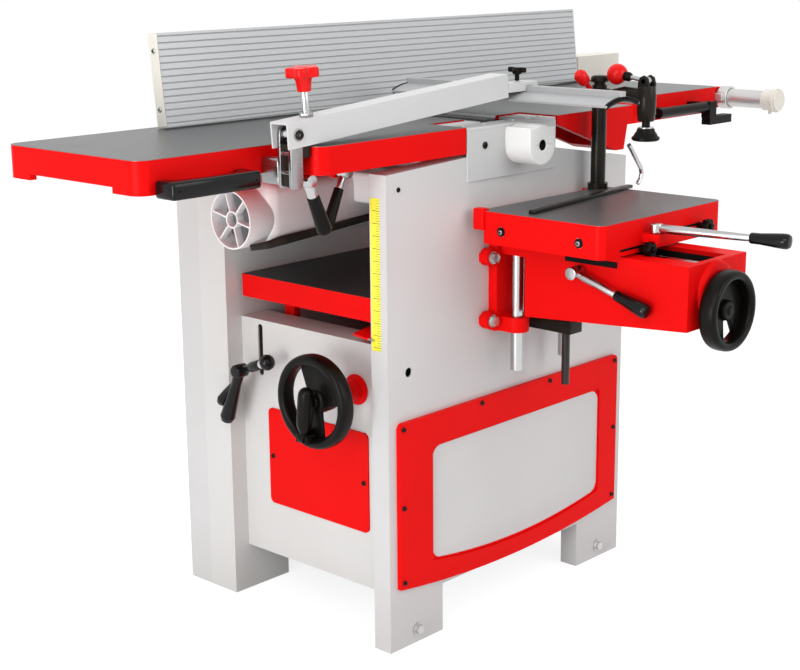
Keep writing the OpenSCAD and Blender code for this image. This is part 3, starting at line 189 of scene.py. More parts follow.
@dataclass(frozen=True)
class Finish(Dress):
    """One surface finish: its colour, gloss and fine relief."""

    name: str
    slot: str
    colour: Triple
    metallic: float = 0.0
    roughness: float = 0.45
    pattern: Pattern = Pattern.FINE
    scale: float = 600.0
    stretch: Triple = (1.0, 1.0, 1.0)
    relief: float = 0.08
    tint: float = 0.04
    tint_scale: float = 5.0
    gloss_spread: float = 0.08
    bottom_darkening: float = 0.0
    specular: float = 0.5
    streak: float = 0.2

    def tone(self, share: float) -> tuple[float, float, float, float]:
        """The colour times a share, kept from 0 to 1."""
        return (*(min(1.0, max(0.0, c * share)) for c in self.colour), 1.0)

    def surface(self, tree: Tree) -> dict[str, Socket]:
        """Lays out the finish's colour, roughness and relief.

        Args:
            tree: The material being made.

        Returns:
            The sockets by name.
        """
        place = tree.place()
        if self.pattern is Pattern.THREAD:
            fine = tree.add("ShaderNodeTexWave", {0: place, 1: self.scale, 2: 0.0}, bands_direction="Z").outputs[1]
        else:
            stretched = tree.add("ShaderNodeMapping", {0: place, 3: self.stretch}).outputs[0]
            fine = tree.noise(stretched, self.scale, FINE_DETAIL)
        broad = tree.noise(place, self.tint_scale, BROAD_DETAIL)
        blotch = tree.spread(broad, 0.0, 1.0, *NOISE_SPAN)
        colour = tree.blend(blotch, self.tone(1 - self.tint), self.tone(1 + self.tint))
        if self.pattern is Pattern.GROUND:
            streak = tree.spread(fine, 0.0, 1.0, *STREAK_SPAN)
            dark = tree.blend(blotch, self.tone(1 - self.streak * 1.3), self.tone(1 - self.streak * 0.7))
            colour = tree.blend(streak, dark, colour)
        # Darker and blotchy towards the bottom: below a fixed height the colour is mixed towards a brownish grey by the
        # broad noise.
        if self.bottom_darkening:
            low = tree.calc("MULTIPLY", tree.spread(tree.along(Axis.Z), self.bottom_darkening, 0.0, 0.0, DARKENING_TOP), broad)
            colour = tree.blend(low, colour, BOTTOM_TONE)
        rough = tree.spread(fine, self.roughness - self.gloss_spread, self.roughness + self.gloss_spread, *NOISE_SPAN)
        return {"colour": colour, "rough": rough, "height": fine}

    def shader(self, tree: Tree) -> bpy.types.Node:
        """Lays out the finish's shader in a tree."""
        look = self.surface(tree)
        return tree.add("ShaderNodeBsdfPrincipled", {
            "Base Color": look["colour"], "Roughness": look["rough"], "Metallic": self.metallic,
            "Specular IOR Level": self.specular, "Normal": tree.bump(self.relief, look["height"])})


@dataclass(frozen=True)
class TwoTone(Dress):
    """Two finishes on one piece, parted at a level, with the upper one above it."""

    name: str
    lower: Finish
    upper: Finish
    level: float

    @property
    def slot(self) -> str:
        """The record's slot of the larger finish."""
        return self.lower.slot

    def shader(self, tree: Tree) -> bpy.types.Node:
        """Lays out the parted finish's shader.

        Args:
            tree: The material being made.

        Returns:
            The shader.
        """
        below, above = self.lower.surface(tree), self.upper.surface(tree)
        past = tree.calc("GREATER_THAN", tree.along(Axis.Z), self.level * MM)
        return tree.add("ShaderNodeBsdfPrincipled", {
            "Base Color": tree.blend(past, below["colour"], above["colour"]),
            "Roughness": tree.mix(past, below["rough"], above["rough"]),
            "Metallic": tree.mix(past, self.lower.metallic, self.upper.metallic),
            "Specular IOR Level": tree.mix(past, self.lower.specular, self.upper.specular),
            "Normal": tree.bump(self.lower.relief, tree.mix(past, below["height"], above["height"]))})


@dataclass(frozen=True)
class RuleStrip(Dress):
    """A yellow rule with plain ticks, every fifth one longer."""

    name: str = "yellow_rule"
    slot: str = "cream"
    colour: Triple = (0.86, 0.78, 0.03)
    haze: Triple = (0.90, 0.82, 0.07)
    ink: Triple = (0.05, 0.05, 0.04)
    pitch: float = 0.004
    near_edge: float = -0.195

    def shader(self, tree: Tree) -> bpy.types.Node:
        """Lays out the ruled strip's shader.

        Args:
            tree: The material being made.

        Returns:
            The shader.
        """
        ticks = []
        for pitch, share, reach in ((self.pitch, 0.16, -0.003), (self.pitch * 5, 0.05, 0.004)):
            line = tree.calc("LESS_THAN", tree.calc("MODULO", tree.along(Axis.Z), pitch), pitch * share)
            side = tree.calc("LESS_THAN", tree.along(Axis.Y), self.near_edge + reach)
            ticks.append(tree.calc("MULTIPLY", line, side))
        haze = tree.noise(tree.place(), 60.0, FINE_DETAIL)
        ground = tree.blend(haze, (*self.colour, 1.0), (*self.haze, 1.0))
        return tree.add("ShaderNodeBsdfPrincipled", {
            "Base Color": tree.blend(tree.calc("MAXIMUM", *ticks), ground, (*self.ink, 1.0)),
            "Roughness": tree.spread(haze, 0.3, 0.5)})


GREY_PAINT = Finish("grey_paint", "sheet_grey", (0.57, 0.57, 0.57), roughness=0.42, scale=520, relief=0.10,
                    tint=0.025, bottom_darkening=0.35, specular=0.3)
PANEL_PAINT = replace(GREY_PAINT, name="panel_paint", colour=(0.60, 0.60, 0.59))
ARM_PAINT = Finish("arm_paint", "sheet_grey", (0.60, 0.60, 0.60), roughness=0.36, scale=520, tint=0.02, specular=0.4)
RED_PAINT = Finish("red_paint", "cast_red", (0.74, 0.003, 0.003), roughness=0.42, scale=430, specular=0.06)
RED_PLASTIC = Finish("red_moulding", "red_plastic", (0.70, 0.004, 0.004), roughness=0.26, scale=900, relief=0.04,
                     specular=0.2)
GROUND_IRON = Finish("ground_top", "ground_iron", (0.155, 0.157, 0.158), metallic=0.75, roughness=0.38,
                     pattern=Pattern.GROUND, scale=160, stretch=(1.0, 16.0, 16.0), relief=0.04, tint=0.08,
                     tint_scale=9, streak=0.12)
# The bed top is a much darker copy of the ground iron, for the bed lying in shade under the tables: painted shade.
SHADED_BED_TOP = Finish("bed_top_painted_shade", "ground_iron", (0.026, 0.024, 0.023), metallic=0.3, pattern=Pattern.GROUND, scale=160,
                  stretch=(1.0, 16.0, 16.0), relief=0.04, tint=0.15, specular=0.3)
STEEL = Finish("bright_steel", "steel", (0.36, 0.36, 0.365), metallic=1.0, roughness=0.28, pattern=Pattern.GROUND,
               scale=420, stretch=(6.0, 6.0, 1.0), relief=0.03, tint=0.06, streak=0.10)
CHROME = Finish("bright_chrome", "chrome", (0.52, 0.52, 0.525), metallic=1.0, roughness=0.22, scale=260, relief=0.02,
                tint=0.05, gloss_spread=0.04)
TUBE = Finish("tube_metal", "chrome", (0.64, 0.64, 0.63), metallic=0.6, roughness=0.34, pattern=Pattern.GROUND,
              scale=420, stretch=(6.0, 1.0, 6.0), relief=0.03, tint=0.03, streak=0.06)
ZINC = Finish("zinc_plate", "steel", (0.55, 0.55, 0.54), metallic=0.9, roughness=0.30, scale=300, relief=0.03,
              tint=0.05)
BLADE = Finish("blade_metal", "aluminium", (0.45, 0.455, 0.46), metallic=0.5, roughness=0.40, pattern=Pattern.GROUND,
               scale=300, stretch=(24.0, 1.0, 24.0), relief=0.03, tint=0.02, streak=0.05)
ALUMINIUM = replace(BLADE, name="drawn_aluminium", colour=(0.56, 0.57, 0.58), metallic=0.35, roughness=0.42,
                    stretch=(1.0, 24.0, 24.0))
BLACK_PLASTIC = Finish("black_moulding", "black_plastic", (0.0040, 0.0034, 0.0028), roughness=0.34, scale=1100,
                       tint=0.25, tint_scale=30, specular=0.12)
GLOSS_BLACK = Finish("gloss_black", "black_plastic", (0.005, 0.005, 0.005), roughness=0.16, scale=900, relief=0.03,
                     tint=0.2, gloss_spread=0.03, specular=0.22)
BLACK_STEEL = Finish("black_steel", "black_oxide", (0.014, 0.011, 0.008), metallic=0.1, roughness=0.26, scale=500,
                     relief=0.05, tint=0.25, tint_scale=24, specular=0.16)
THREAD = Finish("black_thread", "black_oxide", (0.022, 0.019, 0.016), metallic=0.4, roughness=0.36,
                pattern=Pattern.THREAD, scale=105, relief=0.8, tint=0.2)
WHITE_PLASTIC = Finish("white_moulding", "white_plastic", (0.77, 0.77, 0.76), roughness=0.40, scale=700, relief=0.05,
                       tint=0.03, specular=0.35)
HOOD_PLASTIC = replace(WHITE_PLASTIC, name="hood_plastic", colour=(0.84, 0.85, 0.86), roughness=0.36, tint=0.02)
CREAM = Finish("cream_paint", "cream", (0.74, 0.71, 0.64), roughness=0.42, scale=520, specular=0.3)
RUBBER = Finish("black_rubber", "belt_rubber", (0.03, 0.028, 0.024), roughness=0.75, scale=420, relief=0.20, tint=0.3,
                tint_scale=20, specular=0.2)
MACHINE_GREY = Finish("machine_enamel", "machine_grey", (0.16, 0.17, 0.18), scale=420, relief=0.12)
# Flat black for the thin plates that stand for shade in the knee's slot and window: painted shade.
SHADOW = Finish("painted_shade_liner", "black_plastic", (0.008, 0.008, 0.008), roughness=0.85, scale=500, relief=0.05,
                specular=0.1)
TABLE = TwoTone("table_casting", RED_PAINT, GROUND_IRON, 854.4)
BED = TwoTone("bed_casting", RED_PAINT, SHADED_BED_TOP, 589.4)
MORTISE_TABLE = TwoTone("mortise_casting", RED_PAINT, GROUND_IRON, 721.4)
RULE = RuleStrip()


class Corner(NamedTuple):
    """A corner of a box, in millimetres, at full precision."""

    x: float
    y: float
    z: float


def corners(node: str) -> tuple[Corner, Corner]:
    """The lowest and highest corner of a solid node, in millimetres."""
    low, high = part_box(node)
    return Corner(*(c / MM for c in low)), Corner(*(c / MM for c in high))


def toward(at: Point, way: Point) -> Matrix:
    """A place at a point, in millimetres, whose Z runs along a way."""
    return Matrix.Translation(Vector(at)) @ Vector(way).to_track_quat("Z", "Y").to_matrix().to_4x4()


def move(x: float, y: float, z: float) -> Matrix:
    """A place moved from the origin, in millimetres."""
    return Matrix.Translation((x, y, z))


def spin(angle: float, axis: str) -> Matrix:
    """A turn about a named axis, in degrees."""
    return Matrix.Rotation(math.radians(angle), 4, axis)


def arc(radius: float, angles: Iterable[float]) -> list[Pair]:
    """Points on a circle round the origin, at angles in degrees."""
    return [(radius * math.cos(a), radius * math.sin(a)) for a in map(math.radians, angles)]


def wave(radius: float, lobes: int, swell: float, steps: int) -> list[Pair]:
    """A round outline whose rim swells in lobes by a share of its radius."""
    turns = (90 + 360 * i / steps for i in range(steps))
    return [arc(radius * (1 + swell * math.cos(math.radians(lobes * a))), (a,))[0] for a in turns]


class Shape:
    """A mesh in the making, in millimetres of the row frame."""

    def __init__(self) -> None:
        """Starts an empty mesh."""
        self.bm = bmesh.new()

    def take(self, part: bmesh.types.BMesh, place: Matrix, soften: float) -> "Shape":
        """Rounds a part's sharp edges, places it and adds it.

        Args:
            part: The mesh to add, which is freed.
            place: Where it goes.
            soften: The width of the rounding, or 0.

        Returns:
            This shape.
        """
        bmesh.ops.remove_doubles(part, verts=part.verts, dist=DOUBLES)
        bmesh.ops.recalc_face_normals(part, faces=part.faces)
        if soften:
            sharp = [e for e in part.edges if len(e.link_faces) == 2 and e.calc_face_angle() > SHARP_EDGE]
            bmesh.ops.bevel(part, geom=sharp, offset=soften, offset_type="OFFSET", segments=ROUND_STEPS, profile=0.5,
                            affect="EDGES", clamp_overlap=True, material=-1)
        bmesh.ops.transform(part, matrix=place, verts=part.verts)
        mesh = bpy.data.meshes.new("part")
        part.to_mesh(mesh)
        part.free()
        self.bm.from_mesh(mesh)
        bpy.data.meshes.remove(mesh)
        return self

    def box(self, low: Point, high: Point, soften: float = 1.0, place: Matrix = Matrix()) -> "Shape":
        """Adds a box between two corners.

        Args:
            low: The lowest corner.
            high: The highest corner.
            soften: The rounding of its edges.
            place: A further placing.

        Returns:
            This shape.
        """
        a, b = Vector(low), Vector(high)
        part = bmesh.new()
        bmesh.ops.create_cube(part, size=1.0,
                              matrix=Matrix.Translation((a + b) / 2) @ Matrix.Diagonal((*(b - a), 1.0)))
        return self.take(part, place, soften)

    def lathe(self, profile: Sequence[Pair], place: Matrix, soften: float = 0.0, steps: int = 48,
              closed: bool = False) -> "Shape":
        """Adds a turned form.

        Args:
            profile: Radius and height of each corner.
            place: Where the axis and its start go.
            soften: The rounding of its edges.
            steps: Steps round the axis.
            closed: True for a ring whose profile closes on itself.

        Returns:
            This shape.
        """
        part = bmesh.new()
        points = [part.verts.new((r, 0.0, h)) for r, h in profile]
        pairs = list(zip(points, points[1:]))
        if closed:
            pairs.append((points[-1], points[0]))
        edges = [part.edges.new(pair) for pair in pairs]
        bmesh.ops.spin(part, geom=points + edges, cent=(0, 0, 0), axis=UP, angle=math.tau, steps=steps,
                       use_merge=True, use_duplicate=False)
        return self.take(part, place, soften)

    def disc(self, radius: float, low: float, high: float, place: Matrix, soften: float, steps: int) -> "Shape":
        """Adds a round bar between two heights of a place, turned as lathe turns it."""
        return self.lathe([(0, low), (radius, low), (radius, high), (0, high)], place, soften, steps)

    def ring(self, inner: float, outer: float, low: float, high: float, place: Matrix, soften: float,
             steps: int) -> "Shape":
        """Adds a square-edged ring between two heights of a place, turned as lathe turns it."""
        return self.lathe([(inner, low), (outer, low), (outer, high), (inner, high)], place, soften, steps, True)

    def rod(self, start: Point, end: Point, radius: float, soften: float = 0.8, steps: int = 32) -> "Shape":
        """Adds a round bar between the middles of its two ends."""
        way = Vector(end) - Vector(start)
        return self.disc(radius, 0, way.length, toward(start, way), soften, steps)

    def prism(self, outline: Iterable[Pair], depth: float, place: Matrix, soften: float = 0.6) -> "Shape":
        """Adds an outline made solid along Z.

        Args:
            outline: Its corners in turn.
            depth: How far it reaches along Z.
            place: Where it goes.
            soften: The rounding of its edges.

        Returns:
            This shape.
        """
        part = bmesh.new()
        face = part.faces.new([part.verts.new((x, y, 0.0)) for x, y in outline])
        made = bmesh.ops.extrude_face_region(part, geom=[face])["geom"]
        bmesh.ops.translate(part, vec=(0, 0, depth), verts=[g for g in made if isinstance(g, bmesh.types.BMVert)])
        return self.take(part, place, soften)

    def sweep(self, path: Sequence[Point], radii: Sequence[float], steps: int) -> "Shape":
        """Adds a bar bent along a path.

        Args:
            path: The points of its middle line.
            radii: Its radius at each point.
            steps: Steps round it.

        Returns:
            This shape.
        """
        points = [Vector(p) for p in path]
        ways = [(b - a).normalized() for a, b in zip(points, points[1:])]
        turns = [ways[0], *[(a + b).normalized() for a, b in zip(ways, ways[1:])], ways[-1]]
        part = bmesh.new()
        ring = bmesh.ops.create_circle(part, cap_ends=True, segments=steps, radius=radii[0],
                                       matrix=toward(points[0], turns[0]))
        cap = ring["verts"][0].link_faces[0]
        for i in range(1, len(points)):
            made = bmesh.ops.extrude_face_region(part, geom=[cap])["geom"]
            verts = [g for g in made if isinstance(g, bmesh.types.BMVert)]
            cap = next(g for g in made if isinstance(g, bmesh.types.BMFace))
            turn = turns[i - 1].rotation_difference(turns[i]).to_matrix().to_4x4()
            step = (Matrix.Translation(points[i]) @ turn @ Matrix.Scale(radii[i] / radii[i - 1], 4)
                    @ Matrix.Translation(-points[i - 1]))
            bmesh.ops.transform(part, matrix=step, verts=verts)
        return self.take(part, Matrix(), 0.0)

    def screw(self, at: Point, way: Point, radius: float, height: float) -> "Shape":
        """Adds a domed screw head with a round socket, seated at a point and facing a way."""
        r, h = radius, height
        return self.lathe([(r * 0.45, h * 0.2), (r * 0.45, h), (r * 0.75, h), (r, h * 0.55), (r, 0), (0, 0),
                           (0, h * 0.2)], toward(at, way), 0.0, 24)

    def piece(self, name: str, dress: Dress, body: str, stands_for: Sequence[str] = ()) -> None:
        """Makes the shape an object that moves with a body.

        Args:
            name: The piece's name.
            dress: Its finish.
            body: The body it rides on.
            stands_for: The solid nodes it takes the place of.
        """
        bmesh.ops.scale(self.bm, vec=(MM, MM, MM), verts=self.bm.verts)
        mesh = bpy.data.meshes.new(name)
        self.bm.to_mesh(mesh)
        self.bm.free()
        mesh.polygons.foreach_set("use_smooth", [True] * len(mesh.polygons))
        mesh.set_sharp_from_angle(angle=SMOOTH_EDGE)
        mesh.materials.append(dress.material())
        made = bpy.data.objects.new(name, mesh)
        bpy.context.scene.collection.objects.link(made)
        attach(made, body)
        dress.slot
        if stands_for:
            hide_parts(*stands_for)
        log.info("piece %s on %s, %d faces", name, body, len(mesh.polygons))


def dress_node(name: str, dress: Dress, soften: float) -> None:
    """Gives a solid node its finish and rounds its edges.

    Args:
        name: The node.
        dress: Its finish.
        soften: The rounding in millimetres, or 0.
    """
    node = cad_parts[name]
    node.data.materials.clear()
    node.data.materials.append(dress.material())
    node.modifiers.new("weld", "WELD").merge_threshold = NODE_DOUBLES
    if soften:
        bevel = node.modifiers.new("edges", "BEVEL")
        bevel.width, bevel.segments = soften * MM, NODE_ROUND_STEPS
        bevel.limit_method, bevel.angle_limit = "ANGLE", NODE_SHARP_EDGE
        bevel.miter_outer = "MITER_ARC"
        node.modifiers.new("shading", "WEIGHTED_NORMAL").keep_sharp = False
    log.info("node %s in %s", name, dress.name)


class Part:
    """A sub-assembly: the nodes it dresses and the pieces it adds."""

    nodes: ClassVar[dict[str, tuple[Dress, float]]] = {}

    def dress(self) -> None:
        """Finishes the nodes that stay in view."""
        for name, (finish, soften) in self.nodes.items():
            dress_node(name, finish, soften)

    def build(self) -> None:
        """Makes the added pieces."""


@dataclass
class Cabinet(Part):
    """The sheet metal body, its red panels, screws and rule."""

    panel_screws: tuple[Pair, ...] = (
        (-293, 384), (-97, 386), (91, 386), (288, 384), (-293, 250), (288, 254), (-293, 120), (288, 120))
    panel_face: float = -228.0
    field_x: Pair = (-220.0, 242.0)
    field_z: Pair = (142.0, 337.0)
    field_corner: float = 22.0
    field_bow: float = 20.0
    field_face: float = -223.9
    screw_r: float = 4.4
    screw_h: float = 3.0
    rule_y: Pair = (-206.0, -186.0)
    rule_z: Pair = (515.0, 760.0)
    rule_t: float = 0.5
    front: float = -320.0
    bridge: tuple[Pair, ...] = (
        (-130, -222.6), (103.5, -222.6), (103.5, -144), (45, -144), (45, -181), (-45, -181), (-45, -144), (-130, -144))
    bridge_z: Pair = (847.9, 852.6)
    bolt_x: tuple[float, ...] = (-112.0, -58.0, 20.0, 58.0, 92.0)
    bolt_y: float = -196.0
    nodes = {
        "near_wall": (GREY_PAINT, 2.5), "rear_wall": (PANEL_PAINT, 2.5), "front_panel": (PANEL_PAINT, 0.0),
        "back_panel": (PANEL_PAINT, 0.0), "belt_cover": (GREY_PAINT, 2.5), "floor_pan": (MACHINE_GREY, 0.8),
        "side_panel": (RED_PAINT, 1.6), "front_cover": (RED_PAINT, 1.0), "handwheel_flange": (RED_PAINT, 1.5),
        "hex_bolts": (ZINC, 0.4), "cutter_side_plate": (GREY_PAINT, 0.8), "chuck_cover": (WHITE_PLASTIC, 2.5),
        "motor": (MACHINE_GREY, 1.0), "drive_belt": (RUBBER, 0.6), "bearing_housings": (GROUND_IRON, 1.5),
        "hinge_pins": (STEEL, 1.0)}

    def build(self) -> None:
        """Makes the screws, the rule and the small fittings of the walls."""
        screws = Shape()
        for x, z in self.panel_screws:
            screws.screw((x, self.panel_face, z), NEAR, self.screw_r, self.screw_h)
        low, high = corners("front_cover")
        for y in (low.y + 10, high.y - 10):
            screws.screw((low.x, y, (low.z + high.z) / 2), LEFT, self.screw_r, self.screw_h)
        screws.piece("panel_screws", BLACK_STEEL, "frame")
        self._panel_field()
        (y0, y1), (z0, z1) = self.rule_y, self.rule_z
        rule = Shape().box((self.front - self.rule_t, y0, z0), (self.front, y1, z1), 0.2)
        rule.piece("thickness_rule", RULE, "frame")
        plate = Shape().screw((-86, -223, 822), NEAR, 6.0, 2.5).screw((-292, -220, 772), NEAR, 4.0, 2.0)
        plate.piece("side_plate_screws", BLACK_STEEL, "frame")
        seat, top = self.bridge_z
        bolts = Shape()
        for x in self.bolt_x:
            bolts.rod((x, self.bolt_y, top - 1), (x, self.bolt_y, top + 1.4), 5.5, 0.6, 24)
        bolts.piece("bridge_bolts", ZINC, "frame")
        Shape().prism(self.bridge, top - seat, move(0, 0, seat), 0.8).piece("bridge_plate", GREY_PAINT, "frame")

    def _panel_field(self) -> None:
        """Makes the grey field of the side panel, with round corners and a bowed lower edge."""
        (x0, x1), (z0, z1), r = self.field_x, self.field_z, self.field_corner
        mid, half = (x0 + x1) / 2, (x1 - x0) / 2
        lower = (x0 + r + (x1 - x0 - 2 * r) * i / 32 for i in range(33))
        outline = [(x, z0 - self.field_bow * (1 - ((x - mid) / half) ** 2)) for x in lower]
        sag = outline[-1][1]
        for x, z, start in ((x1 - r, sag + r, -90), (x1 - r, z1 - r, 0), (x0 + r, z1 - r, 90), (x0 + r, sag + r, 180)):
            outline += [(x + a, z + b) for a, b in arc(r, (start + 90 * i / 8 for i in range(1, 8)))]
        place = move(0, self.field_face, 0) @ spin(90, "X")
        Shape().prism(outline, 0.6, place, 0.2).piece("panel_field", GREY_PAINT, "frame")


@dataclass
class DustHood(Part):
    """The moulded dust hood with its spoked hose port and seal."""

    port: Pair = (98.0, 699.0)
    port_r: float = 50.0
    wall: float = 3.0
    mouth: float = -362.0
    shoulder: float = -318.0
    inner_end: float = -62.0
    base: float = 654.0
    spokes: int = 6
    spoke_l: float = 14.0
    ring_r: float = 15.0
    root: float = 20.0

    def build(self) -> None:
        """Makes the hood, its port and its seal."""
        (y, z), r, wall, ring, base = self.port, self.port_r, self.wall, self.ring_r, self.base
        top = corners("dust_hood")[1]
        depth = self.shoulder - self.mouth + self.root
        hub = (self.mouth + wall, y, z)
        hood = Shape()
        hood.lathe([(r - wall, 0), (r, 0), (r, depth - self.root), (r - 2, depth), (r - wall, depth)],
                   toward((self.mouth, y, z), RIGHT), 1.0, 72, True)
        hood.ring(ring - wall, ring, 0, self.spoke_l, toward(hub, RIGHT), 0.6, 40)
        for i in range(self.spokes):
            hood.box((0, ring - 1, -wall / 2), (self.spoke_l, r - 1, wall / 2), 0.5,
                     move(*hub) @ spin(360 * (i + 0.2) / self.spokes, "X"))
        hood.box((self.shoulder, 46, base), (self.inner_end, top.y, top.z), 22.0)
        hood.box((-120, -150, 704), (self.inner_end, top.y - 4, top.z), 8.0)
        hood.piece("dust_hood_shell", HOOD_PLASTIC, "frame", ["dust_hood"])
        # A dark grey disc a little way inside the port stands for the shade inside the hood: painted shade.
        back = Shape().disc(r - wall - 0.5, 0, 2, toward((self.mouth + 34, y, z), RIGHT), 0.0, 48)
        back.piece("port_painted_shade", MACHINE_GREY, "frame")
        seal = Shape().sweep(
            [(self.mouth + 16, y - 30, z - 46), (self.shoulder - 6, 50, base + 3), (-296, 43, base + 8),
             (-200, 43, base + 13), (-63, 43, base + 22)], [5.0, 7.0, 8.0, 7.0, 6.0], 16)
        seal.piece("hood_seal", RUBBER, "frame")


@dataclass
class Wheel:
    """A moulded handwheel: a deep rim joined to its hub by webs."""

    name: str
    node: str
    body: str
    centre: Triple
    way: Triple
    radius: float
    rim: float
    deep: float
    hub_r: float
    hub_back: float
    webs: tuple[Triple, ...]
    web_back: float
    web_t: float = 8.0
    squareness: float = 0.7

    def build(self, first: Vector) -> None:
        """Makes the wheel as one moulding.

        Args:
            first: The direction from which its webs are counted.
        """
        place = toward(self.centre, self.way)
        flat = place.to_3x3().inverted() @ first
        start = math.degrees(math.atan2(flat.y, flat.x))
        mid, hub = self.radius - self.rim, self.hub_r
        rim = []
        for c, s in arc(1.0, (15 * i for i in range(24))):
            rim.append((mid + self.rim * math.copysign(abs(c) ** self.squareness, c),
                        self.deep * math.copysign(abs(s) ** self.squareness, s)))
        shape = Shape().lathe(rim, place, 0.0, 96, True)
        shape.lathe([(0, 7), (hub * 0.35, 7), (hub * 0.45, 4), (hub * 0.85, 4), (hub, 1), (hub * 1.06, -8),
                     (hub, -self.hub_back), (0, -self.hub_back)], place, 1.0, 48)
        for centre, half_rim, half_hub in self.webs:
            outline = arc(mid, (half_rim * (i / 12 - 1) for i in range(25)))
            outline += arc(hub * 0.9, (half_hub * (1 - i / 12) for i in range(25)))
            shape.prism(outline, self.web_t, place @ spin(start + centre, "Z") @ move(0, 0, -self.web_back), 2.0)
        shape.piece(self.name, BLACK_PLASTIC, self.body, [self.node])


@dataclass
class Thicknesser(Part):
    """The rise and fall bed with its wheel, grip, lock and pointer."""

    wheel: Triple = (-382.0, -117.0, 430.0)
    crank_angle: float = 186.0
    crank_r: float = 58.0
    grip_x: float = 22.0
    shaft_l: float = 112.0
    lock: Triple = (-336.0, 117.0, 430.0)
    lock_stud: float = 138.0
    lever_angle: float = 22.0
    knob_angle: float = -21.0
    nodes = {"thickness_table": (BED, 1.5), "lift_column": (STEEL, 1.0), "lift_screw": (THREAD, 0.0)}

    def build(self) -> None:
        """Makes the wheel, the grip, the lock lever and the pointer."""
        turn = math.radians(self.crank_angle)
        out = Vector((0, -math.sin(turn), math.cos(turn)))
        side = Vector((0, math.cos(turn), math.sin(turn)))
        centre = Vector(self.wheel)
        Wheel("rise_wheel", "rise_handwheel", "wheel", self.wheel, LEFT, radius=78.0, rim=9.0, deep=14.0, hub_r=20.0,
              hub_back=34.0, webs=((0.0, 20.0, 46.0), (-202.0, 58.0, 84.0)), web_back=7.0).build(out)
        hinge = centre + out * self.crank_r + Vector((-self.grip_x, 0, 0))
        local = Matrix.Translation(hinge) @ Matrix((Vector(RIGHT), side, out)).transposed().to_4x4()
        cheeks = Shape()
        for y in (-10, 10):
            cheeks.box((-6, y - 2.5, -7), (self.grip_x, y + 2.5, 9), 2.2, local)
        cheeks.rod(hinge - side * 12.4, hinge + side * 12.4, 4.0)
        cheeks.rod(centre, centre + Vector((self.shaft_l, 0, 0)), 9.0)
        cheeks.piece("grip_cheeks", BLACK_PLASTIC, "wheel")
        grip = Shape().rod(hinge - side * 6.9, hinge + side * 6.9, 9.0, 1.5)
        grip.lathe([(0, 0), (6, 0), (6.5, 8), (9.5, 14), (12.4, 22), (13, 30), (13, 70), (12.2, 77), (9.6, 82.5),
                    (5.4, 85.4), (0, 86)], toward(hinge, -out), 0.0, 40)
        grip.piece("folding_grip", BLACK_PLASTIC, "crank", ["crank_grip"])
        self._lock_lever()
        pointer = Shape().prism([(-252, -120), (-314, -138), (-322.4, -176), (-322.4, -183), (-252, -183)], 4.0,
                                move(0, 0, 530), 0.8)
        pointer.box((-280, -180, 533), (-262, -150, 552), 1.0).piece("bed_pointer", RED_PAINT, "bed")
        needle = Shape().prism([(0, -2.5), (0, 2.5), (14, 0.5), (14, -0.5)], 1.2,
                               move(-323, -181, 532) @ spin(-90, "Z") @ spin(90, "X"), 0.2)
        needle.piece("pointer_needle", STEEL, "bed")

    def _lock_lever(self) -> None:
        """Makes the bed lock: a hub, a swelling grip, a second tine and a knob on a bright stem."""
        at = Vector(self.lock)
        lean, rise = math.radians(self.lever_angle), math.radians(self.knob_angle)
        down = Vector((0, math.sin(lean), -math.cos(lean)))
        tine = Vector((0, 0.62, -0.79))
        stem = toward(at, (0, -math.cos(rise), -math.sin(rise)))
        lever = Shape()
        lever.lathe([(0, -13), (10, -13), (12, -10), (12, 11), (9, 13), (0, 13)], toward(at, RIGHT), 0.8, 40)
        lever.rod(at, at + Vector((self.lock_stud, 0, 0)), 5.0)
        lever.sweep([at + down * d for d in (0, 30, 66, 96, 104)], [10.0, 9.0, 11.5, 13.5, 10.5], 24)
        lever.sweep([at + down * 24, at + tine * 50, at + tine * 76, at + tine * 84], [7.0, 6.5, 10.5, 8.5], 20)
        lever.lathe([(0, 0), (7, 0), (7, 30), (9, 34), (9, 58), (0, 58)], stem, 1.0, 32)
        lever.lathe([(0, 66), (6, 66), (9, 68.5), (13, 71), (14, 76), (12.5, 82), (8, 86), (0, 87.5)], stem, 0.6, 36)
        lever.piece("bed_lock_lever", GLOSS_BLACK, "bed_lock", ["lock_lever"])
        Shape().disc(8, 57, 67, stem, 0.8, 32).piece("bed_lock_ring", CHROME, "bed_lock")


